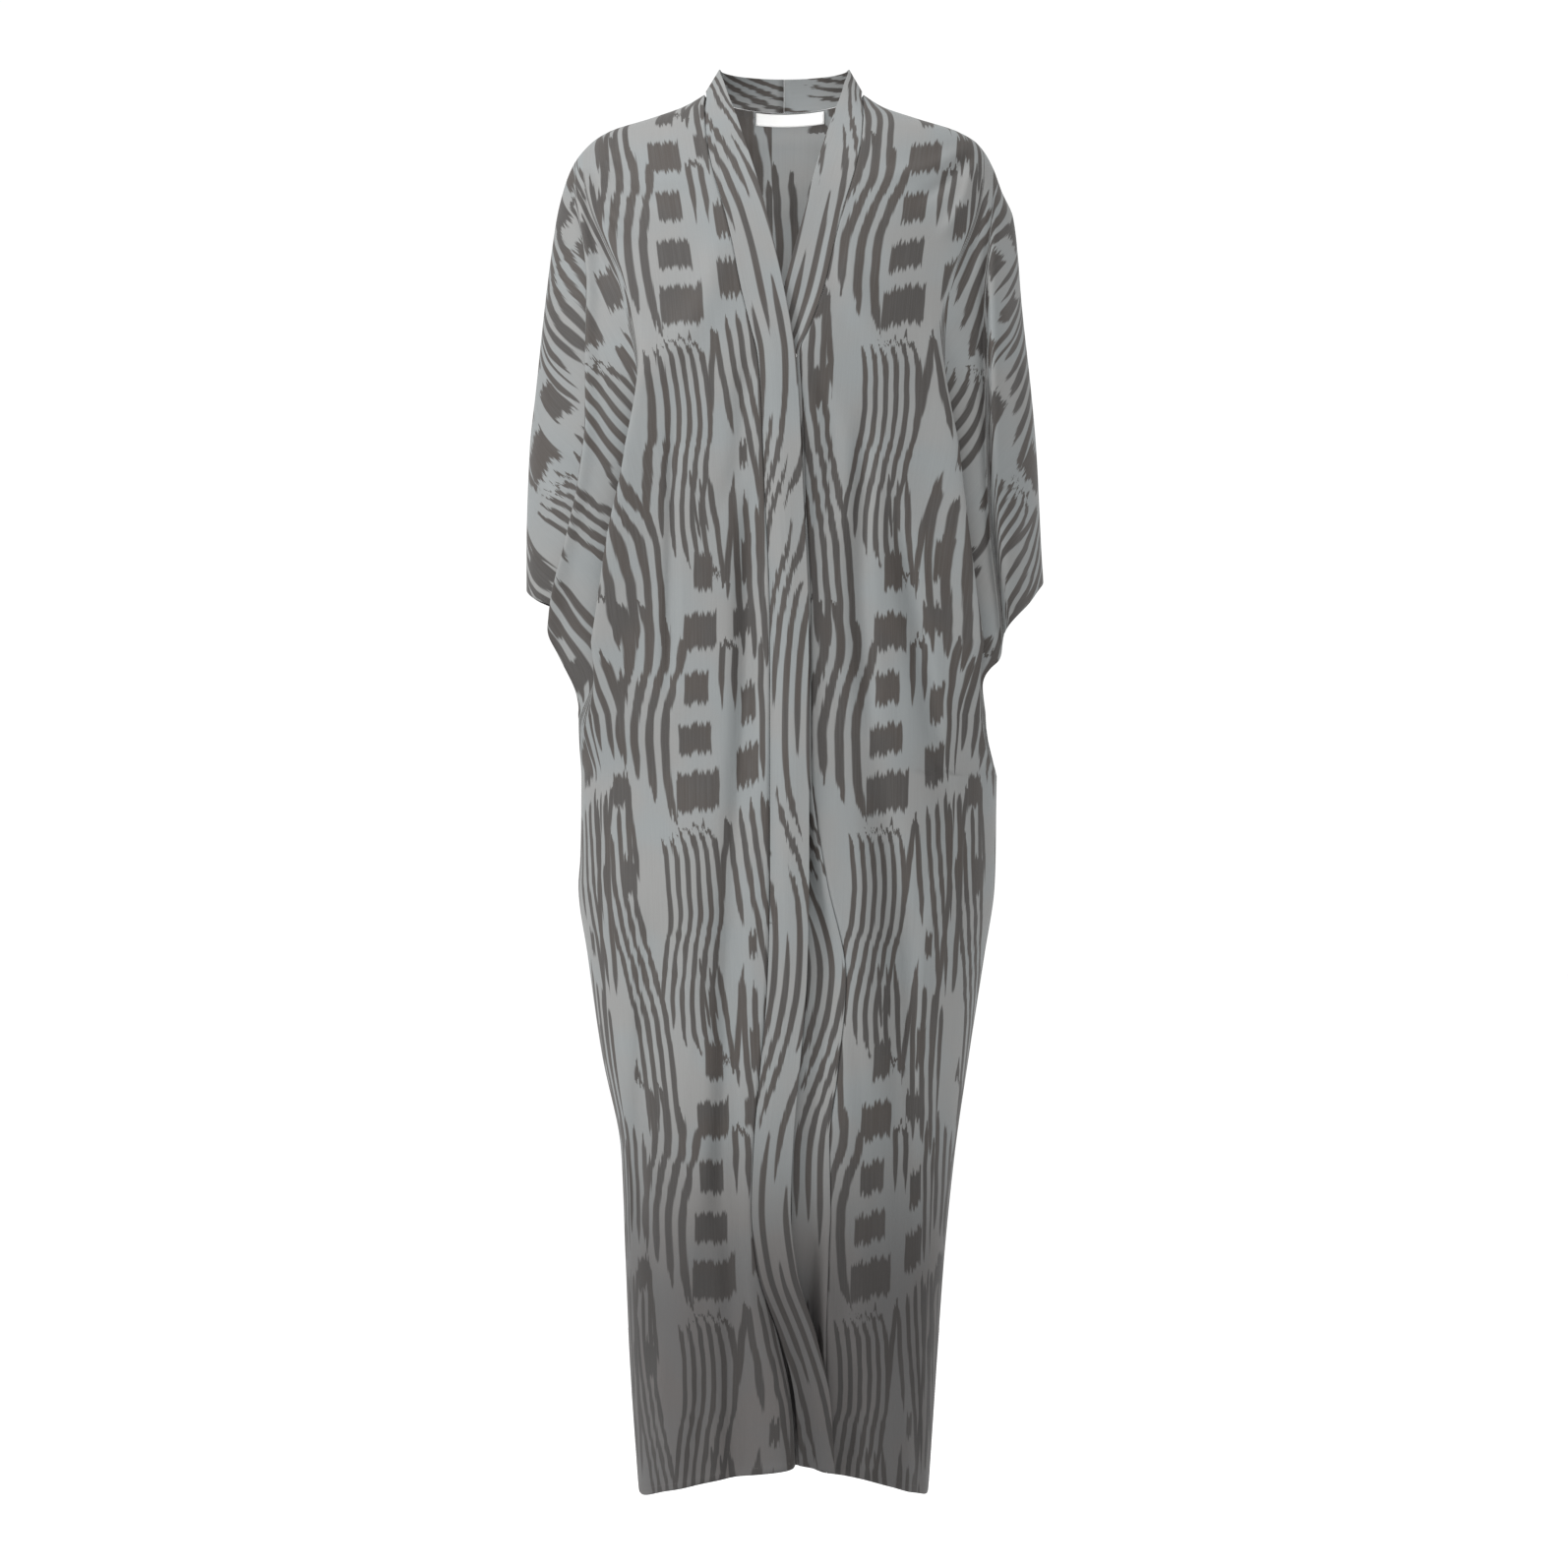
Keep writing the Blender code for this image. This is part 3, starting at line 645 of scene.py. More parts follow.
            point = point - wave * (lean * along + way * rise * out)
        return point

    def panel_point(self, side: Side, face: Face, c: np.ndarray, z: np.ndarray) -> np.ndarray:
        """Points of a panel, with what its opening edge does on a front.

        Args:
            side: The half of the coat.
            face: Front or back.
            c: The columns' steps.
            z: Heights.

        Returns:
            The points, with X, Y and Z along the last axis.
        """
        point = self.pleated_point(side, face, c, z)
        if face is Face.BACK:
            return point
        lift = LIFT.read(side.value + "_seam", z) * np.exp(-((c / self.lift_reach[side]) ** 2))
        power = (side is Side.LEFT) * ease((self.roll_top - z) / (self.roll_top - self.roll_full))
        roll = fold_wave(c / self.roll_width) * power
        moved = [-side.sign * self.roll_over * roll, -self.roll_out * roll - lift, 0 * z]
        return point + np.stack(moved, axis=-1)

    def heights_of(self, side: Side, face: Face, c: float, upper: int, lower: int) -> np.ndarray:
        """Heights of a column's points, from its top to the foot of the cuff, and on to the hem.

        Args:
            side: The half of the coat.
            face: Front or back.
            c: The column's step.
            upper: Rows down to the foot of the cuff.
            lower: Rows from there to the hem.

        Returns:
            The heights, closer together at the shoulder.
        """
        top = self.top_of(side, face, c)[1]
        foot = CUFF.read(side.value, max(c, 1.0))
        hem = HEM.read("back" if face is Face.BACK else side.value + "_front", min(c, 1.0))
        share = np.arange(upper + 1) / upper
        share = share**2 * (1 + self.row_spread) / (share + self.row_spread)
        plain = lower - len(self.hem_rows)
        turned = hem + self.hem_rows[0]
        down = self.cuff_foot + (turned - self.cuff_foot) * np.arange(1, plain + 1) / plain
        last = hem + np.array(self.hem_rows[1:] + (0.0,))
        return np.concatenate([top + (foot - top) * share, down, last])


FORM = WornForm()


@dataclass(frozen=True)
class FlatCut:
    """Where a point of the worn cloth lay on the flat cloth, so that the pattern follows the weave."""

    slope_samples: int = 24
    slope_foot: float = -330.0
    hang_line: float = 102.0
    pivot: tuple[float, float] = (166.0, 62.0)
    fold_from: tuple[float, float] = (0.97, 1.10)
    fold_turn: float = math.radians(21.0)
    sleeve_from: tuple[float, float] = (1.64, 1.74)
    sleeve_turn: float = math.radians(19.0)
    back_fade: float = 90.0

    def across(self, face: Face, x: np.ndarray, z: np.ndarray) -> np.ndarray:
        """Distance round the section from the middle.

        Args:
            face: Front or back.
            x: Signed distances from the middle, measured straight.
            z: Heights.

        Returns:
            The distances along the cloth, never below 0.
        """
        wide = FORM.wide_at(x, z)
        deep = SECTIONS.read(face.value, z)
        total = np.zeros(np.shape(x))
        turn = np.arcsin(np.clip(np.abs(x) / wide, 0, 1))
        steps = self.slope_samples
        for k in range(steps):
            middle = turn * (k + 0.5) / steps
            total = total + turn / steps * np.hypot(wide * np.cos(middle), deep * np.sin(middle))
        return total

    def down(self, face: Face, x: np.ndarray, z: np.ndarray) -> np.ndarray:
        """Distance down the cloth from the level of the neck point, over the slope of the chest.

        Args:
            face: Front or back.
            x: Signed distances from the middle, all on one side.
            z: Heights.

        Returns:
            The distances, measured along the line where the cloth hangs from the shoulder.
        """
        reach = np.full(np.shape(x), self.hang_line)
        side = Side.LEFT if np.mean(x) < 0 else Side.RIGHT
        top = FORM.shoulder_height(side, reach)
        low = np.minimum(np.maximum(z, self.slope_foot), top - 0.01)
        excess = np.zeros(np.shape(z))
        before = None
        for k in range(self.slope_samples + 1):
            height = top + (low - top) * k / self.slope_samples
            wide = FORM.half_width(side, height)
            y = SECTIONS.read(face.value, height) * np.sqrt(np.clip(1 - (reach / wide) ** 2, 0, 1))
            if before is not None:
                drop = before[1] - height
                excess = excess + np.hypot(drop, y - before[0]) - drop
            before = (y, height)
        return -z + excess

    def of(self, side: Side, face: Face, c: np.ndarray, z: np.ndarray) -> tuple[np.ndarray, np.ndarray]:
        """The flat cloth's coordinates of a panel's points.

        Args:
            side: The half of the coat.
            face: Front or back.
            c: The columns' steps.
            z: Heights.

        Returns:
            Distances from the middle of the cloth, and down from the neck point.
        """
        x = FORM.place_of(side, face, c, z)
        u = self.across(face, x, z)
        tilt = GRAIN_TILT.read("inwards", z)
        if face is Face.BACK:
            tilt = tilt * ease(u / self.back_fade)
        u = u - tilt
        v = self.down(face, x, z)
        pivot = self.pivot
        fold = ease((c - self.fold_from[0]) / (self.fold_from[1] - self.fold_from[0]))
        sleeve = ease((c - self.sleeve_from[0]) / (self.sleeve_from[1] - self.sleeve_from[0]))
        turn = self.fold_turn * fold + self.sleeve_turn * sleeve
        right, below = u - pivot[0], v - pivot[1]
        return (
            pivot[0] + right * np.cos(turn) + below * np.sin(turn),
            pivot[1] - right * np.sin(turn) + below * np.cos(turn),
        )


FLAT = FlatCut()


def finer(steps: Sequence[float], parts: int) -> list[float]:
    """The steps with each gap shared into equal parts."""
    fine = [a + (b - a) * k / parts for a, b in zip(steps, steps[1:]) for k in range(parts)]
    return fine + [steps[-1]]


def piece_of(
    form: bmesh.types.BMesh, name: str, material: bpy.types.Material, smooth: bool = True
) -> bpy.types.Object:
    """Makes a form into a piece of the scene.

    Args:
        form: Its faces, which are freed.
        name: The piece's name.
        material: Its finish.
        smooth: Whether its faces are shaded as one curve.

    Returns:
        The piece.
    """
    mesh = bpy.data.meshes.new(name)
    form.to_mesh(mesh)
    form.free()
    if smooth:
        mesh.shade_smooth()
    mesh.materials.append(material)
    piece = bpy.data.objects.new(name, mesh)
    bpy.context.scene.collection.objects.link(piece)
    return piece


def lay_sheet(
    name: str,
    columns: Sequence[np.ndarray],
    flat: Sequence[np.ndarray],
    wall: float,
    material: bpy.types.Material,
    missing: frozenset = frozenset(),
) -> bpy.types.Object:
    """Lays a grid on the columns' points and gives it a wall.

    Args:
        name: The piece's name.
        columns: The points of each column, in millimetres, from left to right as its outside is seen.
        flat: The flat cloth's coordinates of the same points.
        wall: The cloth's thickness in millimetres.
        material: Its finish.
        missing: Places, as column and row, that the cloth leaves out.

    Returns:
        The piece.
    """
    form = bmesh.new()
    maps = form.loops.layers.uv.new("cloth")
    verts = {}
    for step, line in enumerate(columns):
        for row, point in enumerate(line):
            if (step, row) not in missing:
                verts[step, row] = form.verts.new(Vector(point) * MM)
    for step in range(len(columns) - 1):
        for row in range(len(columns[0]) - 1):
            corners = [(step, row), (step, row + 1), (step + 1, row + 1), (step + 1, row)]
            if any(corner in missing for corner in corners):
                continue
            patch = form.faces.new([verts[corner] for corner in corners])
            for loop, (i, j) in zip(patch.loops, corners):
                loop[maps].uv = (flat[i][j][0] * MM, flat[i][j][1] * MM)
    piece = piece_of(form, name, material)
    shell = piece.modifiers.new("wall", "SOLIDIFY")
    shell.thickness = wall * MM
    shell.offset = 0.0
    shell.use_even_offset = False
    return piece


class Yarn:
    """A socket of a finish's nodes, with arithmetic, so that a pattern reads like a formula."""

    def __init__(self, loom: "Loom", socket: bpy.types.NodeSocket) -> None:
        """Keeps the socket and the loom that it belongs to."""
        self.loom = loom
        self.socket = socket

    def math(self, operation: str, *others: object) -> "Yarn":
        """A Math node on this socket and others."""
        sockets = dict(enumerate((self, *others)))
        return self.loom.take("ShaderNodeMath", {"operation": operation}, sockets)

    def __add__(self, other: object) -> "Yarn":
        """Sum."""
        return self.math("ADD", other)

    def __radd__(self, other: object) -> "Yarn":
        """Sum, with this one second."""
        return self.math("ADD", other)

    def __sub__(self, other: object) -> "Yarn":
        """Difference."""
        return self.math("SUBTRACT", other)

    def __rsub__(self, other: float) -> "Yarn":
        """Difference, with this one second."""
        return self.math("MULTIPLY_ADD", -1.0, other)

    def __mul__(self, other: object) -> "Yarn":
        """Product."""
        return self.math("MULTIPLY", other)

    def __rmul__(self, other: object) -> "Yarn":
        """Product, with this one second."""
        return self.math("MULTIPLY", other)

    def __truediv__(self, other: object) -> "Yarn":
        """Quotient."""
        return self.math("DIVIDE", other)

    def __abs__(self) -> "Yarn":
        """Size without sign."""
        return self.math("ABSOLUTE")

    def floor(self) -> "Yarn":
        """The whole number below."""
        return self.math("FLOOR")

    def lower(self, other: object) -> "Yarn":
        """The lower of two."""
        return self.math("MINIMUM", other)

    def higher(self, other: object) -> "Yarn":
        """The higher of two."""
        return self.math("MAXIMUM", other)

    def wrapped(self, low: float, high: float) -> "Yarn":
        """The value brought between low and high by whole repeats."""
        return self.math("WRAP", high, low)

    def step(self, start: object, end: object) -> "Yarn":
        """0 at start, 1 at end and smooth between, whichever of the two is lower."""
        sockets = {"Value": self, "From Min": start, "From Max": end}
        return self.loom.take("ShaderNodeMapRange", {"interpolation_type": "SMOOTHSTEP"}, sockets)

    def along(self, points: Sequence[tuple[float, float]]) -> "Yarn":
        """A smooth curve through a few points, read at this value.

        Args:
            points: Pairs of place and value, by rising place.

        Returns:
            The curve's value.
        """
        places = [place for place, _ in points]
        values = [value for _, value in points]
        low, high = min(values), max(values)
        span = max(high - low, 1e-6)
        share = ((self - places[0]) / (places[-1] - places[0])).higher(0.0).lower(1.0)
        curve = self.loom.node("ShaderNodeFloatCurve", {}, {"Value": share})
        line = curve.mapping.curves[0]
        ends = (line.points[0], line.points[-1])
        for place, value in points[1:-1]:
            line.points.new((place - places[0]) / (places[-1] - places[0]), (value - low) / span)
        for point, x, value in zip(ends, (0.0, 1.0), (values[0], values[-1])):
            point.location = (x, (value - low) / span)
        curve.mapping.update()
        return Yarn(self.loom, curve.outputs[0]) * span + low


class Loom:
    """Lays out one finish's nodes."""

    def __init__(self, name: str) -> None:
        """Starts a finish with a plain Principled surface."""
        self.material = bpy.data.materials.new(name)
        self.material.use_nodes = True
        self.tree = self.material.node_tree
        self.surface = self.tree.nodes["Principled BSDF"]

    def node(
        self, kind: str, settings: dict[str, object], sockets: dict[int | str, object]
    ) -> bpy.types.Node:
        """One node.

        Args:
            kind: Its type.
            settings: Its own properties.
            sockets: Its inputs by name or number: a value, or a Yarn that is linked.

        Returns:
            The node.
        """
        made = self.tree.nodes.new(kind)
        for key, value in settings.items():
            setattr(made, key, value)
        for key, value in sockets.items():
            if isinstance(value, Yarn):
                self.tree.links.new(value.socket, made.inputs[key])
            else:
                made.inputs[key].default_value = value
        return made

    def take(
        self,
        kind: str,
        settings: dict[str, object],
        sockets: dict[int | str, object],
        output: int | str = 0,
    ) -> Yarn:
        """One node's output as a Yarn."""
        return Yarn(self, self.node(kind, settings, sockets).outputs[output])

    def mix(self, share: object, first: object, second: object) -> Yarn:
        """Two colours mixed."""
        settings = {"data_type": "RGBA"}
        return self.take("ShaderNodeMix", settings, {0: share, 6: first, 7: second}, 2)

    def tint(self, colour: Yarn, by: object) -> Yarn:
        """A colour multiplied by another."""
        settings = {"data_type": "RGBA", "blend_type": "MULTIPLY"}
        return self.take("ShaderNodeMix", settings, {0: 1.0, 6: colour, 7: by}, 2)

    def point(self, x: object, y: object, z: object = 0.0) -> Yarn:
        """A vector of three values."""
        return self.take("ShaderNodeCombineXYZ", {}, {0: x, 1: y, 2: z})

    def noise(self, place: Yarn, scale: float, detail: float = 2.0) -> Yarn:
        """Soft noise from 0 to 1."""
        return self.take("ShaderNodeTexNoise", {}, {"Vector": place, "Scale": scale, "Detail": detail})

    def cloth_place(self) -> tuple[Yarn, Yarn]:
        """The flat cloth's coordinates in millimetres: across, and down."""
        uv = self.node("ShaderNodeUVMap", {"uv_map": "cloth"}, {}).outputs[0]
        split = self.node("ShaderNodeSeparateXYZ", {}, {0: Yarn(self, uv)})
        return Yarn(self, split.outputs[0]) * 1000.0, Yarn(self, split.outputs[1]) * -1000.0

    def chance(self, number: Yarn) -> Yarn:
        """A value from 0 to 1 that differs at random from one number to the next."""
        return self.take("ShaderNodeTexWhiteNoise", {"noise_dimensions": "1D"}, {"W": number})

    def place(self) -> Yarn:
        """The place in the scene, in metres."""
        return self.take("ShaderNodeTexCoord", {}, {}, "Object")

    def height(self) -> Yarn:
        """Height in the scene, in metres."""
        return self.take("ShaderNodeSeparateXYZ", {}, {0: self.place()}, 2)

    def bump(self, height: Yarn, distance: float, strength: float = 1.0) -> None:
        """Presses a height into the surface's normal."""
        sockets = {"Height": height, "Distance": distance, "Strength": strength}
        made = self.take("ShaderNodeBump", {}, sockets)
        self.tree.links.new(made.socket, self.surface.inputs["Normal"])

    def finish(self, colour: Yarn, roughness: object, sheen: float = 0.0) -> bpy.types.Material:
        """Joins colour, roughness and sheen to the surface.

        Args:
            colour: The base colour.
            roughness: A value or a Yarn.
            sheen: How much soft fibre shine.

        Returns:
            The material.
        """
        self.tree.links.new(colour.socket, self.surface.inputs["Base Color"])
        if isinstance(roughness, Yarn):
            self.tree.links.new(roughness.socket, self.surface.inputs["Roughness"])
        else:
            self.surface.inputs["Roughness"].default_value = roughness
        self.surface.inputs["Sheen Weight"].default_value = sheen
        self.surface.inputs["Sheen Roughness"].default_value = 0.5
        return self.material


@dataclass(frozen=True)
class StripeGroup:
    """Stripes that run side by side, each pointed at both ends.

    The path is the middle stripe's place at a few distances down. The steps say how much lower each
    next stripe to the right starts and ends.
    """

    path: tuple[tuple[float, float], ...]
    gap: float
    half_count: float
    share: float
    top: float
    foot: float
    top_step: float = 0.0
    foot_step: float = 0.0
    shift: float = 0.0


# The warp pattern's repeat, charted. Across is the distance to the right of the middle of a
# ladder of dark blocks, and down is the distance below a level near the ladder's top. Its blocks:
BLOCKS = Table(
    ("left", "right", "top", "foot"),
    (
        (7, 14, -40, -15),
        (0, 18, 12, 47),
        (-10, 22, 70, 104),
        (-9, 15, 127, 157),
        (-15, 18, 177, 205),
        (-18, 25, 223, 260),
        (46, 56, -4, 36),
        (38, 58, 60, 87),
        (46, 60, 137, 172),
        (42, 64, 196, 233),
        (-91, -72, 224, 255),
        (-79, -63, 303, 340),
        (49, 57, 375, 398),
    ),
)
STRIPES = (
    StripeGroup(
        ((276, 7), (343, -2), (398, -9), (458, -15), (505, -17)), 10.2, 2.5, 0.5, 270, 500, -3, 14, 0.5
    ),
    StripeGroup(
        ((253, 62), (300, 66), (343, 72), (391, 79), (430, 84)), 10.8, 1.5, 0.52, 240, 445, -6, -10, 0.5
    ),
    StripeGroup(
        ((52, -25), (95, -35), (144, -46), (196, -53), (277, -50)), 16.0, 1.5, 0.56, 58, 250, 20, 20, 0.5
    ),
    StripeGroup(
        ((200, -83), (295, -88), (367, -78), (415, -66), (487, -52), (560, -48)),
        *(11.4, 1.5, 0.54, 262, 580, -26, 0, 0.5),
    ),
    StripeGroup(((255, -95), (426, -98), (511, -102), (600, -102)), 18.0, 0.0, 0.40, 235, 450),
    StripeGroup(((240, 70), (300, 74), (405, 70), (506, 66), (560, 66)), 11.5, 0.0, 0.5, 245, 545),
    StripeGroup(((430, 62), (480, 58), (540, 62), (600, 66)), 11.0, 1.5, 0.54, 425, 600, 12, 10, 0.5),
    StripeGroup(((395, 15), (440, 8), (490, 4)), 9.0, 0.5, 0.4, 400, 478, 6, -8, 0.5),
    StripeGroup(((560, -92), (600, -90), (650, -88), (690, -88)), 14.0, 1.0, 0.5, 560, 690, 10, 8),
    StripeGroup(((100, 70), (170, 72), (240, 75)), 11.0, 0.5, 0.5, 95, 240, 14, 0, 0.5),
)
# Arches: a rounded head, and two legs that may spread. One that stands on its head has a sign of -1.
ARCHES = Table(
    ("middle", "radius", "head", "legs_end", "line", "spread", "sign"),
    (
        (34, 6.0, 96, 160, 6.0, 0.0, 1),
        (33, 1.0, 270, 372, 6.0, 0.11, 1),
        (30, 1.0, 508, 398, 5.6, 0.11, -1),
        (-82, 11.0, 232, 330, 6.0, 0.13, 1),
    ),
)


@dataclass(frozen=True)
class WarpPattern:
    """Grey-blue cloth with a brown-grey pattern dyed into its warp, so that the ends are feathered.

    The slips are how far yarns, fine yarns and slow waves shift the pattern down the cloth. A repeat
    begins at its lead above a motif. A pair of ends says where a leg or stripe runs out, and where it
    has its full width, counted down from the charted end.
    """

    name: str
    repeat_across: float = 186.0
    repeat_down: float = 470.0
    ladder: float = -88.0
    start_down: float = 486.0
    ladder_reach: float = 78.0
    yarn: float = 2.1
    fine_yarn: float = 0.7
    slips: tuple[float, float, float] = (8.0, 4.0, 14.0)
    lead: float = 40.0
    wander: float = 3.0
    block_lean: float = 0.13
    block_edge: float = 0.6
    block_end: float = 2.0
    arch_edge: float = 0.7
    leg_ends: tuple[float, float] = (4.0, -30.0)
    stripe_heads: tuple[float, float] = (-3.0, 20.0)
    stripe_feet: tuple[float, float] = (3.0, -34.0)
    ground: Colour = (0.150, 0.161, 0.163, 1.0)
    warm_ground: Colour = (0.157, 0.158, 0.155, 1.0)
    dye: Colour = (0.029, 0.023, 0.019, 1.0)
    cool_dye: Colour = (0.025, 0.022, 0.020, 1.0)
    # Painted shade: below these heights the cloth colour is multiplied by this darker tint, standing in for
    # the light falling off towards the hem.
    painted_hem_shade_from: float = -0.93
    painted_hem_shade_to: float = -1.20
    painted_hem_shade: Colour = (0.315, 0.285, 0.28, 1.0)
    weave_depth: float = 0.00022
    roughness: float = 0.62
    sheen: float = 0.04

    def shaken(self, loom: Loom, across: Yarn, down: Yarn) -> Yarn:
        """The distance down with each warp yarn slipped a little, which feathers the pattern's ends.

        Args:
            loom: The finish.
            across: Distance across the cloth.
            down: Distance down the cloth.

        Returns:
            The slipped distance down.
        """
        slip = loom.chance((across / self.yarn).floor())
        small = loom.chance((across / self.fine_yarn).floor() + 0.5)
        slow = loom.noise(loom.point(across * 0.05, down * 0.0012), 1.0, 1.0)
        for draw, reach in zip((slip, small, slow), self.slips):
            down = down + (draw - 0.5) * reach
        return down

    def repeated(self, level: Yarn, start: float) -> Yarn:
        """The level brought into the repeat that begins a little above start."""
        return level.wrapped(start - self.lead, start - self.lead + self.repeat_down)

    def block(self, across: Yarn, level: Yarn, row: dict[str, float]) -> Yarn:
        """A dark block with feathered ends.

        Args:
            across: Distance from the ladder's middle.
            level: Distance down the chart.
            row: The block's row of the chart.

        Returns:
            1 inside the block.
        """
        left, right, top, foot = row["left"], row["right"], row["top"], row["foot"]
        edge, end = self.block_edge, self.block_end
        lean = across * self.block_lean - self.block_lean * (left + right) / 2
        down = self.repeated(level, top) + lean
        wide = across.step(left - edge, left + edge) * across.step(right + edge, right - edge)
        return wide * down.step(top - end, top + end) * down.step(foot + end, foot - end)

    def arch(self, across: Yarn, level: Yarn, row: dict[str, float]) -> Yarn:
        """An arch: a line round a head and down two legs.

        Args:
            across: Distance from the ladder's middle.
            level: Distance down the chart.
            row: The arch's row of the chart.

        Returns:
            1 inside the line.
        """
        sign, line = row["sign"], row["line"] / 2
        down = self.repeated(level, min(row["head"], row["legs_end"]))
        low = (down - (row["head"] + sign * row["radius"])) * sign
        head = low.lower(0.0)
        aside = across - row["middle"]
        reach = (aside * aside + head * head).math("SQRT")
        off = abs(reach - row["radius"] - low.higher(0.0) * row["spread"])
        tip, whole = (sign * row["legs_end"] + end for end in self.leg_ends)
        full = (down * sign).step(tip, whole) * line
        return off.step(full + self.arch_edge, full - self.arch_edge) * full.step(0.1, 0.5)

    def stripes(self, across: Yarn, level: Yarn, group: StripeGroup) -> Yarn:
        """Stripes side by side, along the group's path.

        Args:
            across: Distance from the ladder's middle.
            level: Distance down the chart.
            group: The group of the chart.

        Returns:
            1 inside a stripe.
        """
        down = self.repeated(level, group.top - group.half_count * abs(group.top_step))
        place = (across - down.along(group.path)) / group.gap + group.shift
        number = (place + 0.5).floor()
        off = abs(place - number)
        count = number - group.shift
        top = count * group.top_step + group.top
        foot = count * group.foot_step + group.foot
        heads = down.step(*(top + end for end in self.stripe_heads))
        feet = down.step(*(foot + end for end in self.stripe_feet))
        inside = self.stripe(off, heads * feet, group.share)
        return inside * abs(count).step(group.half_count + 0.3, group.half_count + 0.2)

    def stripe(self, off: Yarn, full: Yarn, share: float) -> Yarn:
        """1 inside a stripe.

        Args:
            off: How far from the stripe's middle, as a share of the gap between stripes.
            full: 1 where the stripe is at its full width, and 0 past its points.
            share: The dyed share of the gap where it is full.

        Returns:
            The share of dye.
        """
        half = full * (share * 0.5 + 0.03) - 0.03
        return off.step(half + 0.06, half - 0.06) * half.step(0.05, 0.09)

    def pattern(self, loom: Loom, across: Yarn, down: Yarn) -> Yarn:
        """Where the dye took.

        Args:
            loom: The finish.
            across: Distance across the cloth from its middle.
            down: Distance down the cloth.

        Returns:
            1 on the dyed yarn.
        """
        aside = (across - self.ladder).wrapped(self.ladder_reach - self.repeat_across, self.ladder_reach)
        level = self.shaken(loom, across, down) - self.start_down
        wave = loom.noise(loom.point(across * 0.02, down * 0.03), 1.0, 1.0)
        wavy = aside + (wave - 0.5) * self.wander
        parts = [self.block(wavy, level, row) for row in BLOCKS.entries()]
        parts += [self.arch(wavy, level, row) for row in ARCHES.entries()]
        parts += [self.stripes(wavy, level, group) for group in STRIPES]
        dyed = parts[0]
        for part in parts[1:]:
            dyed = dyed.higher(part)
        return dyed

    def make(self) -> bpy.types.Material:
        """The finish."""
        loom = Loom(self.name)
        across, down = loom.cloth_place()
        dyed = self.pattern(loom, across, down)
        streaks = loom.noise(loom.point(across * 0.9, down * 0.016), 1.0, 3.0)
        drift = loom.noise(loom.point(across * 0.012, down * 0.012), 1.0, 2.0)
        ground = loom.mix(drift.step(0.35, 0.65), self.ground, self.warm_ground)
        dye = loom.mix(drift.step(0.4, 0.6), self.dye, self.cool_dye)
        colour = loom.mix(dyed * (streaks * 0.35 + 0.8).lower(1.0), ground, dye)
        shade = streaks * 0.16 + 0.92
        colour = loom.tint(colour, loom.point(shade, shade, shade))
        # Painted shade: the colour darkens towards the hem by height in the scene, in place of the light
        # falling off there.
        painted_hem_shade_share = loom.height().step(self.painted_hem_shade_from, self.painted_hem_shade_to)
        colour = loom.mix(painted_hem_shade_share, colour, loom.tint(colour, self.painted_hem_shade))
        weave = loom.noise(loom.point(across * 2.6, down * 1.5), 1.0, 2.0)
        loom.bump(weave + streaks * 0.5, self.weave_depth, 0.5)
        return loom.finish(colour, weave * 0.14 + self.roughness, self.sheen)


@dataclass(frozen=True)
class BandPattern(WarpPattern):
    """The same cloth cut along its stripes, which lean to and fro across the band."""

    lean: Points = (
        *((0, 0), (150, 16), (360, 50), (600, 8)),
        *((800, -25), (1000, 15), (1250, -18), (1560, 24)),
    )
    gap: float = 12.0
    length: float = 330.0
    head: float = 70.0
    foot: tuple[float, float] = (24.0, 95.0)
    share: float = 0.52

    def pattern(self, loom: Loom, across: Yarn, down: Yarn) -> Yarn:
        """Where the dye took: long stripes, each pointed at both ends.

        Args:
            loom: The finish.
            across: Distance across the band's cloth.
            down: Distance down the band from the middle of the back.

        Returns:
            1 on the dyed yarn.
        """
        level = self.shaken(loom, across, down)
        place = (across - level.along(self.lean)) / self.gap
        number = (place + 0.5).floor()
        run = (level + loom.chance(number + 0.3) * self.length).wrapped(0.0, self.length)
        feet = run.step(*(self.length - end for end in self.foot))
        return self.stripe(abs(place - number), run.step(0.0, self.head) * feet, self.share)


@dataclass(frozen=True)
class WovenRibbon:
    """Smooth white ribbon, woven across."""

    name: str = "label_finish"
    white: Colour = (0.60, 0.60, 0.59, 1.0)
    shade: Colour = (0.52, 0.52, 0.52, 1.0)

    def make(self) -> bpy.types.Material:
        """The finish."""
        loom = Loom(self.name)
        across, down = loom.cloth_place()
        rib = (down * 7.0).math("SINE") * 0.5 + 0.5
        grain = loom.noise(loom.point(across * 1.2, down * 3.0), 1.0, 2.0)
        colour = loom.mix(rib * 0.3 + grain * 0.3, self.white, self.shade)
        loom.bump(rib * 0.6 + grain * 0.4, 0.00012, 0.6)
        return loom.finish(colour, grain * 0.1 + 0.55)


@dataclass(frozen=True)
class GrainedFinish:
    """A plain finish with a fine grain between two tones."""

    name: str
    tone: Colour
    grain_tone: Colour
    grain: float
    detail: float = 2.0
    roughness: float = 0.6
    grain_roughness: float = 0.0
    metallic: float = 0.0

    def make(self) -> bpy.types.Material:
        """The finish."""
        loom = Loom(self.name)
        grain = loom.noise(loom.place(), self.grain, self.detail)
        loom.surface.inputs["Metallic"].default_value = self.metallic
        roughness = self.roughness
        if self.grain_roughness:
            roughness = grain * self.grain_roughness + self.roughness
        return loom.finish(loom.mix(grain, self.tone, self.grain_tone), roughness)


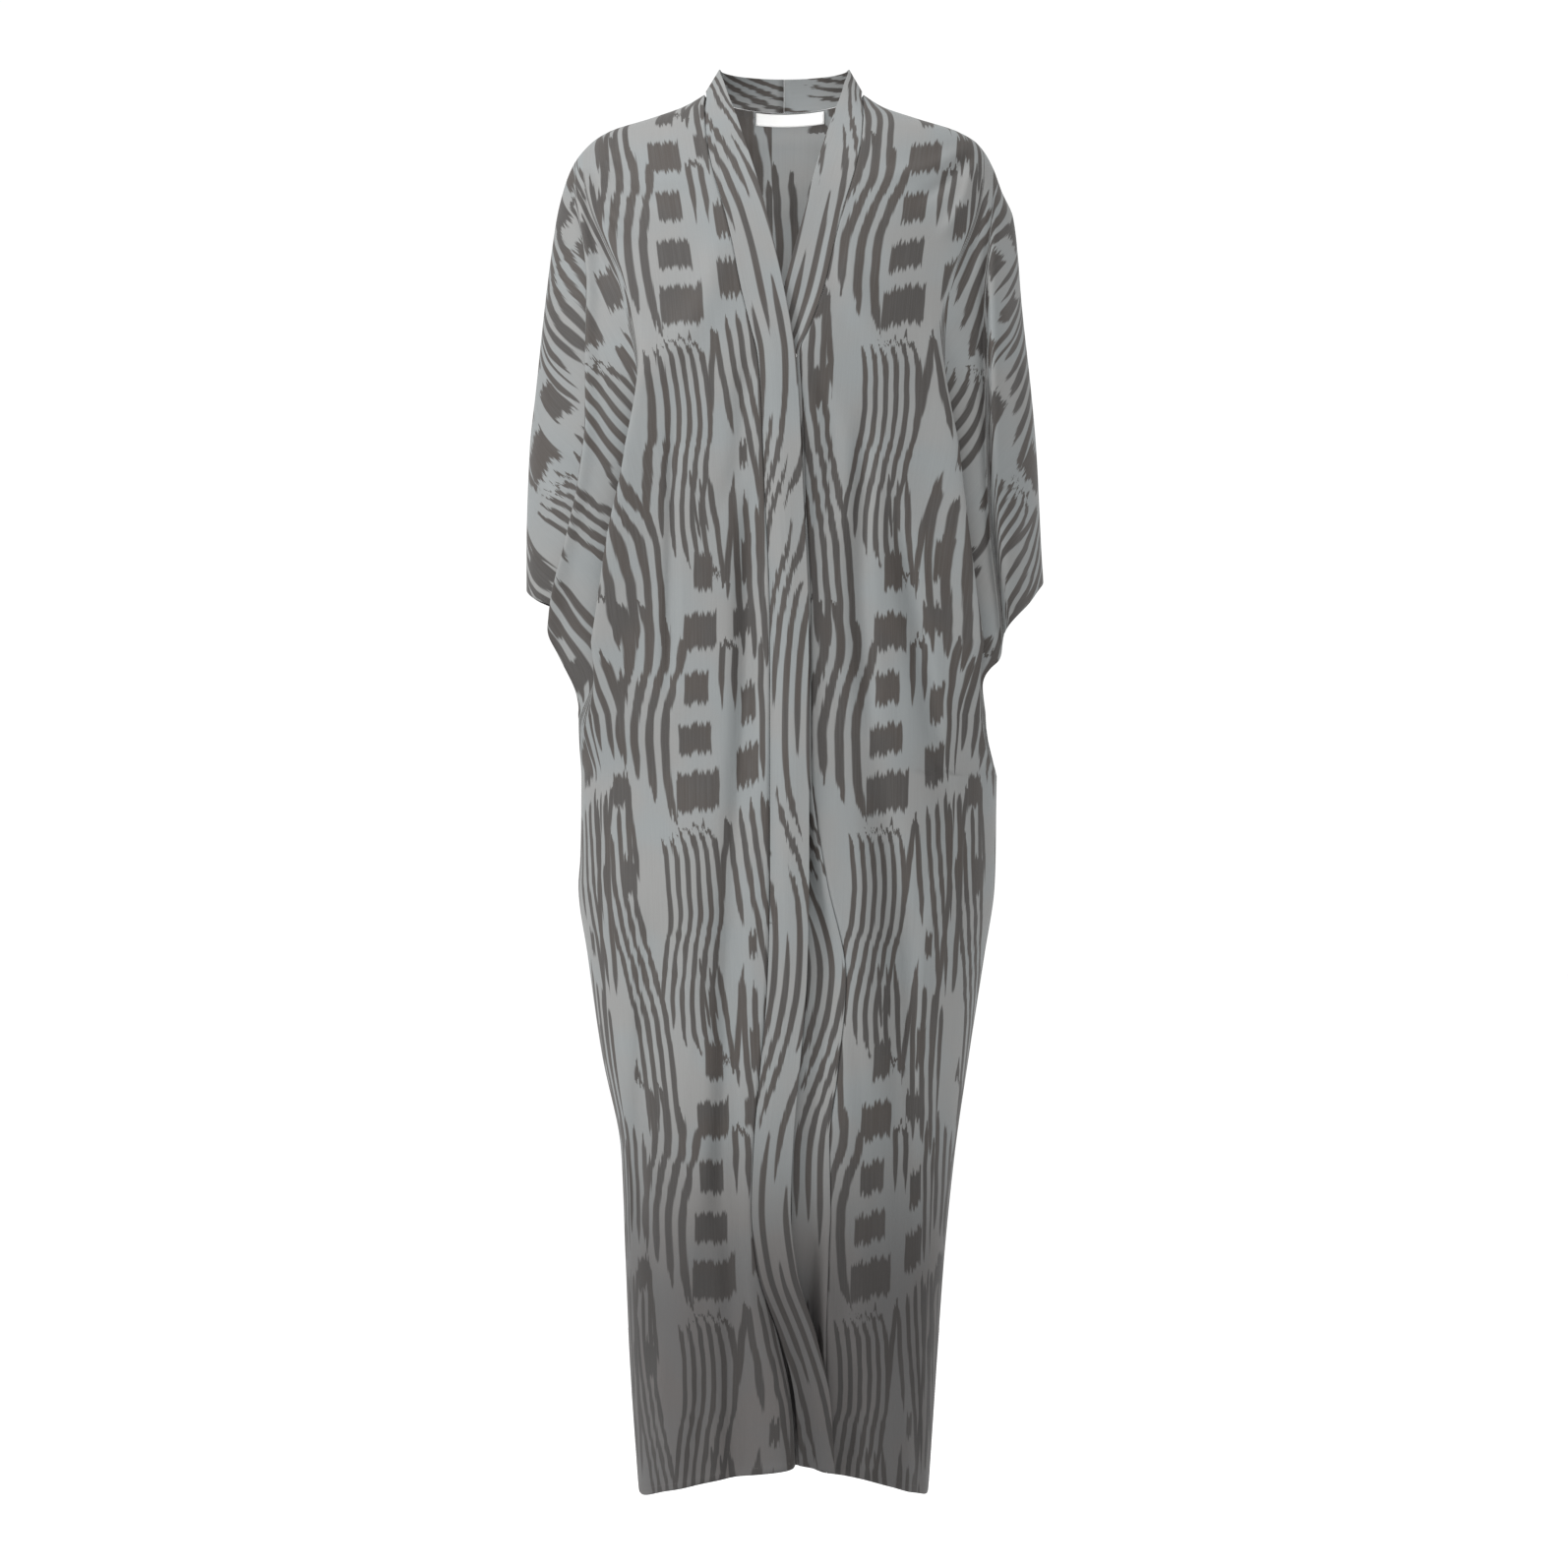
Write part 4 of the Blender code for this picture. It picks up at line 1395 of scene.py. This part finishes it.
SEWING_THREAD = GrainedFinish(
    "thread_finish", (0.15, 0.145, 0.14, 1.0), (0.08, 0.075, 0.07, 1.0), grain=900.0, detail=1.0
)
BRIGHT_WIRE = GrainedFinish(
    "hook_finish",
    (0.66, 0.66, 0.65, 1.0),
    (0.5, 0.5, 0.49, 1.0),
    grain=420.0,
    roughness=0.25,
    grain_roughness=0.15,
    metallic=1.0,
)
PALE_PAPER = GrainedFinish(
    "pale_floor", (0.985, 0.985, 0.985, 1.0), (0.975, 0.975, 0.975, 1.0), grain=2.0, roughness=0.9
)


@dataclass
class Panel:
    """A front with its half of the sleeve, or the back with both halves."""

    name: str
    node: str
    face: Face
    sides: tuple[Side, ...]
    flat_size: tuple[float, float]
    flat_area: float
    wall: float = 0.6
    upper_rows: int = 130
    lower_rows: int = 90
    parts: int = 4
    neck_steps: int = 10

    def steps(self) -> list[float]:
        """The steps of one side's columns, from the middle outwards."""
        sleeve = finer((1.0,) + SLEEVE_STEPS, self.parts)[1:]
        if self.face is Face.FRONT:
            return finer(BODY_STEPS, self.parts) + sleeve
        neck = FORM.neck_half_width / FORM.shoulder_point
        round_neck = [neck * math.sin(k * math.pi / 2 / self.neck_steps) for k in range(self.neck_steps)]
        shoulder = [neck + (1 - neck) * c for c in finer(BODY_STEPS, self.parts)]
        return round_neck + shoulder + sleeve

    def side_columns(self, side: Side) -> list[tuple[np.ndarray, np.ndarray]]:
        """The columns of one side, from the middle outwards.

        Args:
            side: The half of the coat.

        Returns:
            Each column's points, and their flat coordinates.
        """
        columns = []
        for c in self.steps():
            z = FORM.heights_of(side, self.face, c, self.upper_rows, self.lower_rows)
            step = np.full(len(z), float(c))
            point = FORM.panel_point(side, self.face, step, z)
            if c <= 1.0:
                point[-3:, 1] += self.face.sign * FORM.hem_ridge
            u, v = FLAT.of(side, self.face, step, z)
            columns.append((point, np.stack([side.sign * u, -v], axis=-1)))
        return columns

    def build(self, material: bpy.types.Material) -> bpy.types.Object:
        """The panel as a thin shell on its solid's form.

        Args:
            material: The cloth's finish.

        Returns:
            The piece.
        """
        steps = self.steps()
        lower = range(self.upper_rows + 1, self.upper_rows + self.lower_rows + 1)
        columns = self.side_columns(self.sides[0])
        if self.face is Face.BACK:
            columns = columns[::-1] + self.side_columns(self.sides[1])[1:]
            steps = steps[::-1] + steps[1:]
        elif self.sides[0] is Side.LEFT:
            columns = columns[::-1]
            steps = steps[::-1]
        missing = frozenset((i, row) for i, c in enumerate(steps) if c > 1.0 for row in lower)
        points = [line for line, _ in columns]
        flats = [flat for _, flat in columns]
        piece = lay_sheet(self.name, points, flats, self.wall, material, missing)
        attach(piece, "root")
        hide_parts(self.node)
        return piece


@dataclass
class Band:
    """A band, folded double, from the middle of the back neck down one front to the hem."""

    name: str
    node: str
    side: Side
    flat_size: tuple[float, float] = (0.039, 1.56)
    wall: float = 1.6
    upper_rows: int = 130
    lower_rows: int = 90
    neck_rows: int = 14
    shares: tuple[float, ...] = (0.0, 0.02, 0.06, 0.12, 0.22, 0.34, 0.5, 0.68, 0.84, 0.95, 0.985, 1.0)
    top: float = 25.0
    top_half_width: float = 63.0
    top_depth: float = 50.0
    top_dip: float = 3.0
    top_run: float = 55.0
    turn_gap: float = 0.7
    hem_drop: dict[Side, float] = field(default_factory=lambda: {Side.LEFT: 10.0, Side.RIGHT: -9.0})
    hem_run: tuple[float, float] = (-1230.0, 100.0)
    lift_share: float = 0.5
    neck_edge_foot: float = -50.0
    back_gap: float = 0.1
    inside_step: float = 0.02
    inside_drop: float = 4.0
    sharpest_turn: float = 0.3
    flat_from: float = 40.0
    flat_width: float = 39.0

    def free_edge(self, low: np.ndarray) -> np.ndarray:
        """The band's free edge, from the side of the neck down.

        Args:
            low: Heights of the points on the band's seam.

        Returns:
            The point of the free edge that faces each.
        """
        z = low + self.top * np.exp(low / self.top_run)
        z = z - self.hem_drop[self.side] * ease((self.hem_run[0] - low) / self.hem_run[1])
        x = OPENING.read(self.side.value + "_edge", z)
        chest = FORM.section_point(Face.FRONT, x, np.minimum(z, -1.0), 0.0)
        neck = NECK_EDGE.read("forward", z)
        on_chest = ease((self.neck_edge_foot - z) / -self.neck_edge_foot)
        return np.stack([x, chest[..., 1] * on_chest - neck * (1 - on_chest), z], axis=-1)

    def lines(self) -> tuple[np.ndarray, np.ndarray, np.ndarray, np.ndarray]:
        """The seam, points just inside the panel, the free edge, and the seam's heights."""
        turn = np.arange(self.neck_rows) * np.pi / 2 / self.neck_rows
        turn = np.maximum(turn, self.back_gap / self.top_half_width)
        x = self.side.sign * FORM.neck_half_width * np.sin(turn)
        z = -FORM.back_neck_drop * np.cos(turn) ** 2
        top = [
            self.side.sign * self.top_half_width * np.sin(turn),
            self.top_depth * np.cos(turn),
            self.top - self.top_dip * np.cos(turn),
        ]
        low = FORM.heights_of(self.side, Face.FRONT, 0.0, self.upper_rows, self.lower_rows)
        steps = (0.0, self.inside_step)
        front = [FORM.panel_point(self.side, Face.FRONT, 0 * low + c, low) for c in steps]
        seam = np.concatenate([FORM.section_point(Face.BACK, x, z), front[0]])
        inside = np.concatenate([FORM.section_point(Face.BACK, x, z - self.inside_drop), front[1]])
        edge = np.concatenate([np.stack(top, axis=-1), self.free_edge(low)])
        return seam, inside, edge, np.concatenate([0 * turn, low])

    def build(self, material: bpy.types.Material) -> bpy.types.Object:
        """The band as a shell as thick as its doubled cloth.

        Args:
            material: The cloth's finish.

        Returns:
            The piece.
        """
        seam, inside, edge, low = self.lines()
        across = unit(edge - seam)
        meeting = np.sum(across * unit(seam - inside), axis=-1)
        bend = np.arccos(np.clip(meeting, self.sharpest_turn, 1))
        start = seam + across * (FORM.seam_gap + self.turn_gap * self.wall * np.tan(bend))[:, None]
        lift = LIFT.read(self.side.value + "_edge", low)
        run = np.concatenate([[0.0], np.cumsum(np.linalg.norm(np.diff(start, axis=0), axis=1))])
        columns, flats = [], []
        for share in self.shares:
            forward = lift * ease(share / self.lift_share)
            columns.append(start + (edge - start) * share - np.stack([0 * low, forward, 0 * low], axis=-1))
            flat = self.side.sign * (self.flat_from - self.flat_width * share)
            flats.append(np.stack([0 * run + flat, -run], axis=-1))
        if self.side is Side.RIGHT:
            columns, flats = columns[::-1], flats[::-1]
        piece = lay_sheet(self.name, columns, flats, self.wall, material)
        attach(piece, "root")
        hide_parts(self.node)
        return piece


@dataclass
class Label:
    """The bare woven label that hangs from the neck seam inside the back."""

    name: str = "label"
    node: str = "neck_label"
    centre: float = 6.0
    width: float = 68.0
    height: float = 12.0
    top: float = 1.5
    inside: float = 2.4
    swing: float = 0.8
    wall: float = 0.5
    columns: int = 30
    rows: int = 8

    def build(self, material: bpy.types.Material) -> bpy.types.Object:
        """The label, on points of the back moved inwards.

        Args:
            material: Its finish.

        Returns:
            The piece.
        """
        columns, flats = [], []
        for share in np.linspace(-0.5, 0.5, self.columns):
            x = self.centre + self.width * share
            top = -FORM.back_neck_drop * (1 - (x / FORM.neck_half_width) ** 2) - self.top
            z = top - np.linspace(0, self.height, self.rows)
            points = FORM.section_point(Face.BACK, np.full(self.rows, x), z, 0.0)
            points[:, 1] -= self.inside + self.swing * np.linspace(0, 1, self.rows) * (0.5 + share)
            columns.append(points)
            flats.append(np.stack([0 * z + x, z], axis=-1))
        piece = lay_sheet(self.name, columns, flats, self.wall, material)
        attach(piece, "root")
        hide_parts(self.node)
        self.height * MM
        return piece


@dataclass
class Stitching:
    """Rows of small topstitches along the hem and a side vent, on one half of the front or back."""

    name: str
    face: Face
    side: Side
    pitch: float = 2.7
    length: float = 1.9
    thickness: float = 0.34
    proud: float = 0.42
    above_hem: float = 6.4
    hem_steps: tuple[float, float] = (0.01, 0.985)
    hem_marks: int = 500
    vent_steps: tuple[float, ...] = (0.955, 0.982)
    vent_top: float = -1212.0
    vent_marks: int = 160
    first: float = 0.5
    step_probe: float = 0.004
    height_probe: float = 1.0

    def surface(self, c: np.ndarray, z: np.ndarray) -> np.ndarray:
        """Points on the outside of the panel.

        Args:
            c: The columns' steps.
            z: Heights.

        Returns:
            The points, raised so that the thread lies on the cloth.
        """
        point = FORM.panel_point(self.side, self.face, c, z)
        ahead = FORM.panel_point(self.side, self.face, c + self.step_probe, z) - point
        below = FORM.panel_point(self.side, self.face, c, z - self.height_probe) - point
        normal = unit(np.cross(below, ahead)) * self.side.sign * -self.face.sign
        return point + normal * self.proud

    def lines(self) -> list[np.ndarray]:
        """The stitched lines as dense rows of points."""
        c = np.linspace(*self.hem_steps, self.hem_marks)
        table = "back" if self.face is Face.BACK else self.side.value + "_front"
        rows = [self.surface(c, HEM.read(table, c) + self.above_hem)]
        for step in self.vent_steps:
            foot = HEM.read(table, np.array(step)) + self.above_hem
            z = np.linspace(self.vent_top, foot, self.vent_marks)
            rows.append(self.surface(np.full(len(z), step), z))
        return rows

    def build(self, material: bpy.types.Material) -> bpy.types.Object:
        """The stitches as small flat beads of thread.

        Args:
            material: The thread's finish.

        Returns:
            The piece.
        """
        form = bmesh.new()
        for line in self.lines():
            run = np.concatenate([[0.0], np.cumsum(np.linalg.norm(np.diff(line, axis=0), axis=1))])
            for start in np.arange(self.first, run[-1] - self.length, self.pitch):
                marks = np.array([start, start + self.length])
                ends = np.stack([np.interp(marks, run, line[:, k]) for k in range(3)], axis=-1)
                bead(form, Vector(ends[0]) * MM, Vector(ends[1]) * MM, self.thickness * MM)
        piece = piece_of(form, self.name, material)
        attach(piece, "root")
        return piece


def bead(form: bmesh.types.BMesh, start: Vector, end: Vector, thickness: float) -> None:
    """One short thread between two points, thick in the middle and pointed at its ends.

    Args:
        form: The mesh that it is added to.
        start: Where it comes out of the cloth.
        end: Where it goes in again.
        thickness: Its thickness in the middle.
    """
    along = (end - start).normalized()
    aside = along.cross(Vector((0, 1, 0))).normalized() * thickness / 2
    out = aside.cross(along).normalized() * thickness / 2
    middle = (start + end) / 2
    ring = [form.verts.new(middle + corner) for corner in (aside, out, -aside, -out)]
    tips = (form.verts.new(start), form.verts.new(end))
    for first, second in zip(ring, ring[1:] + ring[:1]):
        form.faces.new((tips[0], second, first))
        form.faces.new((tips[1], first, second))


@dataclass
class BarTack:
    """The close bar of thread that holds the wearer's right band where its facing ends."""

    name: str = "bar_tack"
    x: float = -10.5
    z: float = -811.0
    width: float = 6.5
    half_height: float = 0.9
    threads: int = 9
    thickness: float = 0.4
    lift: float = 1.25

    def build(self, material: bpy.types.Material) -> bpy.types.Object:
        """A row of close upright threads.

        Args:
            material: The thread's finish.

        Returns:
            The piece.
        """
        form = bmesh.new()
        for x in self.x + self.width * (np.arange(self.threads) / (self.threads - 1) - 0.5):
            z = np.array([self.z + self.half_height, self.z - self.half_height])
            ends = FORM.section_point(Face.FRONT, np.full(2, x), z, 0.0)
            lift = LIFT.read("left_seam", z) + self.lift
            start, end = (Vector(point - np.array([0, rise, 0])) * MM for point, rise in zip(ends, lift))
            bead(form, start, end, self.thickness * MM)
        piece = piece_of(form, self.name, material, smooth=False)
        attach(piece, "root")
        return piece


@dataclass(frozen=True)
class Softbox:
    """A square light that shines softly on one point."""

    name: str
    place: tuple[float, float, float]
    aim: tuple[float, float, float]
    size: float
    power: float

    def hang(self) -> None:
        """Hangs the light at its place and turns it to its aim."""
        lamp = bpy.data.lights.new(self.name, "AREA")
        lamp.size = self.size
        lamp.energy = self.power
        box = bpy.data.objects.new(self.name, lamp)
        box.location = self.place
        box.rotation_euler = (Vector(self.aim) - Vector(self.place)).to_track_quat("-Z", "Y").to_euler()
        bpy.context.scene.collection.objects.link(box)


# The small one hangs inside the neck and lights the inner side of the back, which shows through the V.
SOFTBOXES = (
    Softbox("key", (-2.9, -1.9, 1.5), (0.0, 0.0, -0.6), 1.0, 118.0),
    Softbox("front", (0.0, -4.9, 0.15), (0.0, 0.0, -0.3), 0.7, 20.0),
    Softbox("neck", (0.0, -0.055, -0.085), (0.0, 0.1, -0.17), 0.08, 0.36),
    Softbox("top", (0.0, -0.8, 2.4), (0.0, 0.0, -0.3), 1.6, 42.0),
)


@dataclass
class Studio:
    """The pale floor, the soft light and the camera."""

    camera_distance: float = 5.3
    camera_height: float = -0.6776
    photo_pixels: int = 1594
    pixel_size: float = 0.968e-3
    film_width: float = 36.0
    floor_height: float = -1.56
    floor_size: float = 40.0
    room_light: float = 1.04

    def build(self) -> None:
        """Makes the floor, the lights, the world and the camera."""
        self.lay_floor()
        self.place_camera()
        world = bpy.data.worlds.new("studio")
        world.use_nodes = True
        world.node_tree.nodes["Background"].inputs["Color"].default_value = (1, 1, 1, 1)
        world.node_tree.nodes["Background"].inputs["Strength"].default_value = self.room_light
        bpy.context.scene.world = world
        bpy.context.scene.view_settings.view_transform = "Standard"
        for softbox in SOFTBOXES:
            softbox.hang()

    def lay_floor(self) -> None:
        """A wide plain floor, clear below the hem."""
        bpy.ops.mesh.primitive_plane_add(size=self.floor_size, location=(0, 0, 0))
        floor = bpy.context.active_object
        floor.name = "floor"
        for vert in floor.data.vertices:
            vert.co.z = self.floor_height
        floor.data.materials.append(PALE_PAPER.make())

    def place_camera(self) -> None:
        """The camera, level with the middle of the photo, which takes in the photo's width."""
        camera = bpy.data.cameras.new("camera")
        camera.sensor_width = self.film_width
        camera.lens = self.film_width * self.camera_distance / (self.photo_pixels * self.pixel_size)
        eye = bpy.data.objects.new("camera", camera)
        eye.location = (0, -self.camera_distance, self.camera_height)
        eye.rotation_euler = (math.pi / 2, 0, 0)
        bpy.context.scene.collection.objects.link(eye)
        bpy.context.scene.camera = eye


def report(piece: bpy.types.Object) -> None:
    """Logs a finished piece."""
    log.info("%s: %d faces", piece.name, len(piece.data.polygons))


def dress_coat() -> None:
    """Builds and dresses every piece in order, and then the studio."""
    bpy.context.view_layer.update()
    cloth = WarpPattern("printed_cloth_finish").make()
    band_cloth = BandPattern("band_cloth_finish").make()
    white = WovenRibbon().make()
    thread = SEWING_THREAD.make()
    right_front = Panel(
        "wearers_right_front", "front_wearers_right", Face.FRONT, (Side.LEFT,), (0.625, 1.375), 0.36
    )
    left_front = Panel(
        "wearers_left_front", "front_wearers_left", Face.FRONT, (Side.RIGHT,), (0.61, 1.375), 0.36
    )
    back = Panel("back_cloth", "back", Face.BACK, (Side.RIGHT, Side.LEFT), (1.27, 1.365), 0.74)
    back.upper_rows, back.lower_rows, back.parts = 110, 70, 3
    work = [
        (right_front, cloth),
        (left_front, cloth),
        (back, cloth),
        (Band("wearers_right_band", "band_wearers_right", Side.LEFT), band_cloth),
        (Band("wearers_left_band", "band_wearers_left", Side.RIGHT), band_cloth),
        (Label(), white),
    ]
    for face in Face:
        for side in Side:
            work.append((Stitching(f"stitches_{face.value}_{side.value}", face, side), thread))
    work.append((BarTack(), thread))
    for maker, finish in work:
        report(maker.build(finish))
    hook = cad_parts["front_hook"]
    hook.data.materials.clear()
    hook.data.materials.append(BRIGHT_WIRE.make())
    report(hook)
    Studio().build()


if __name__ == "__main__":
    dress_coat()
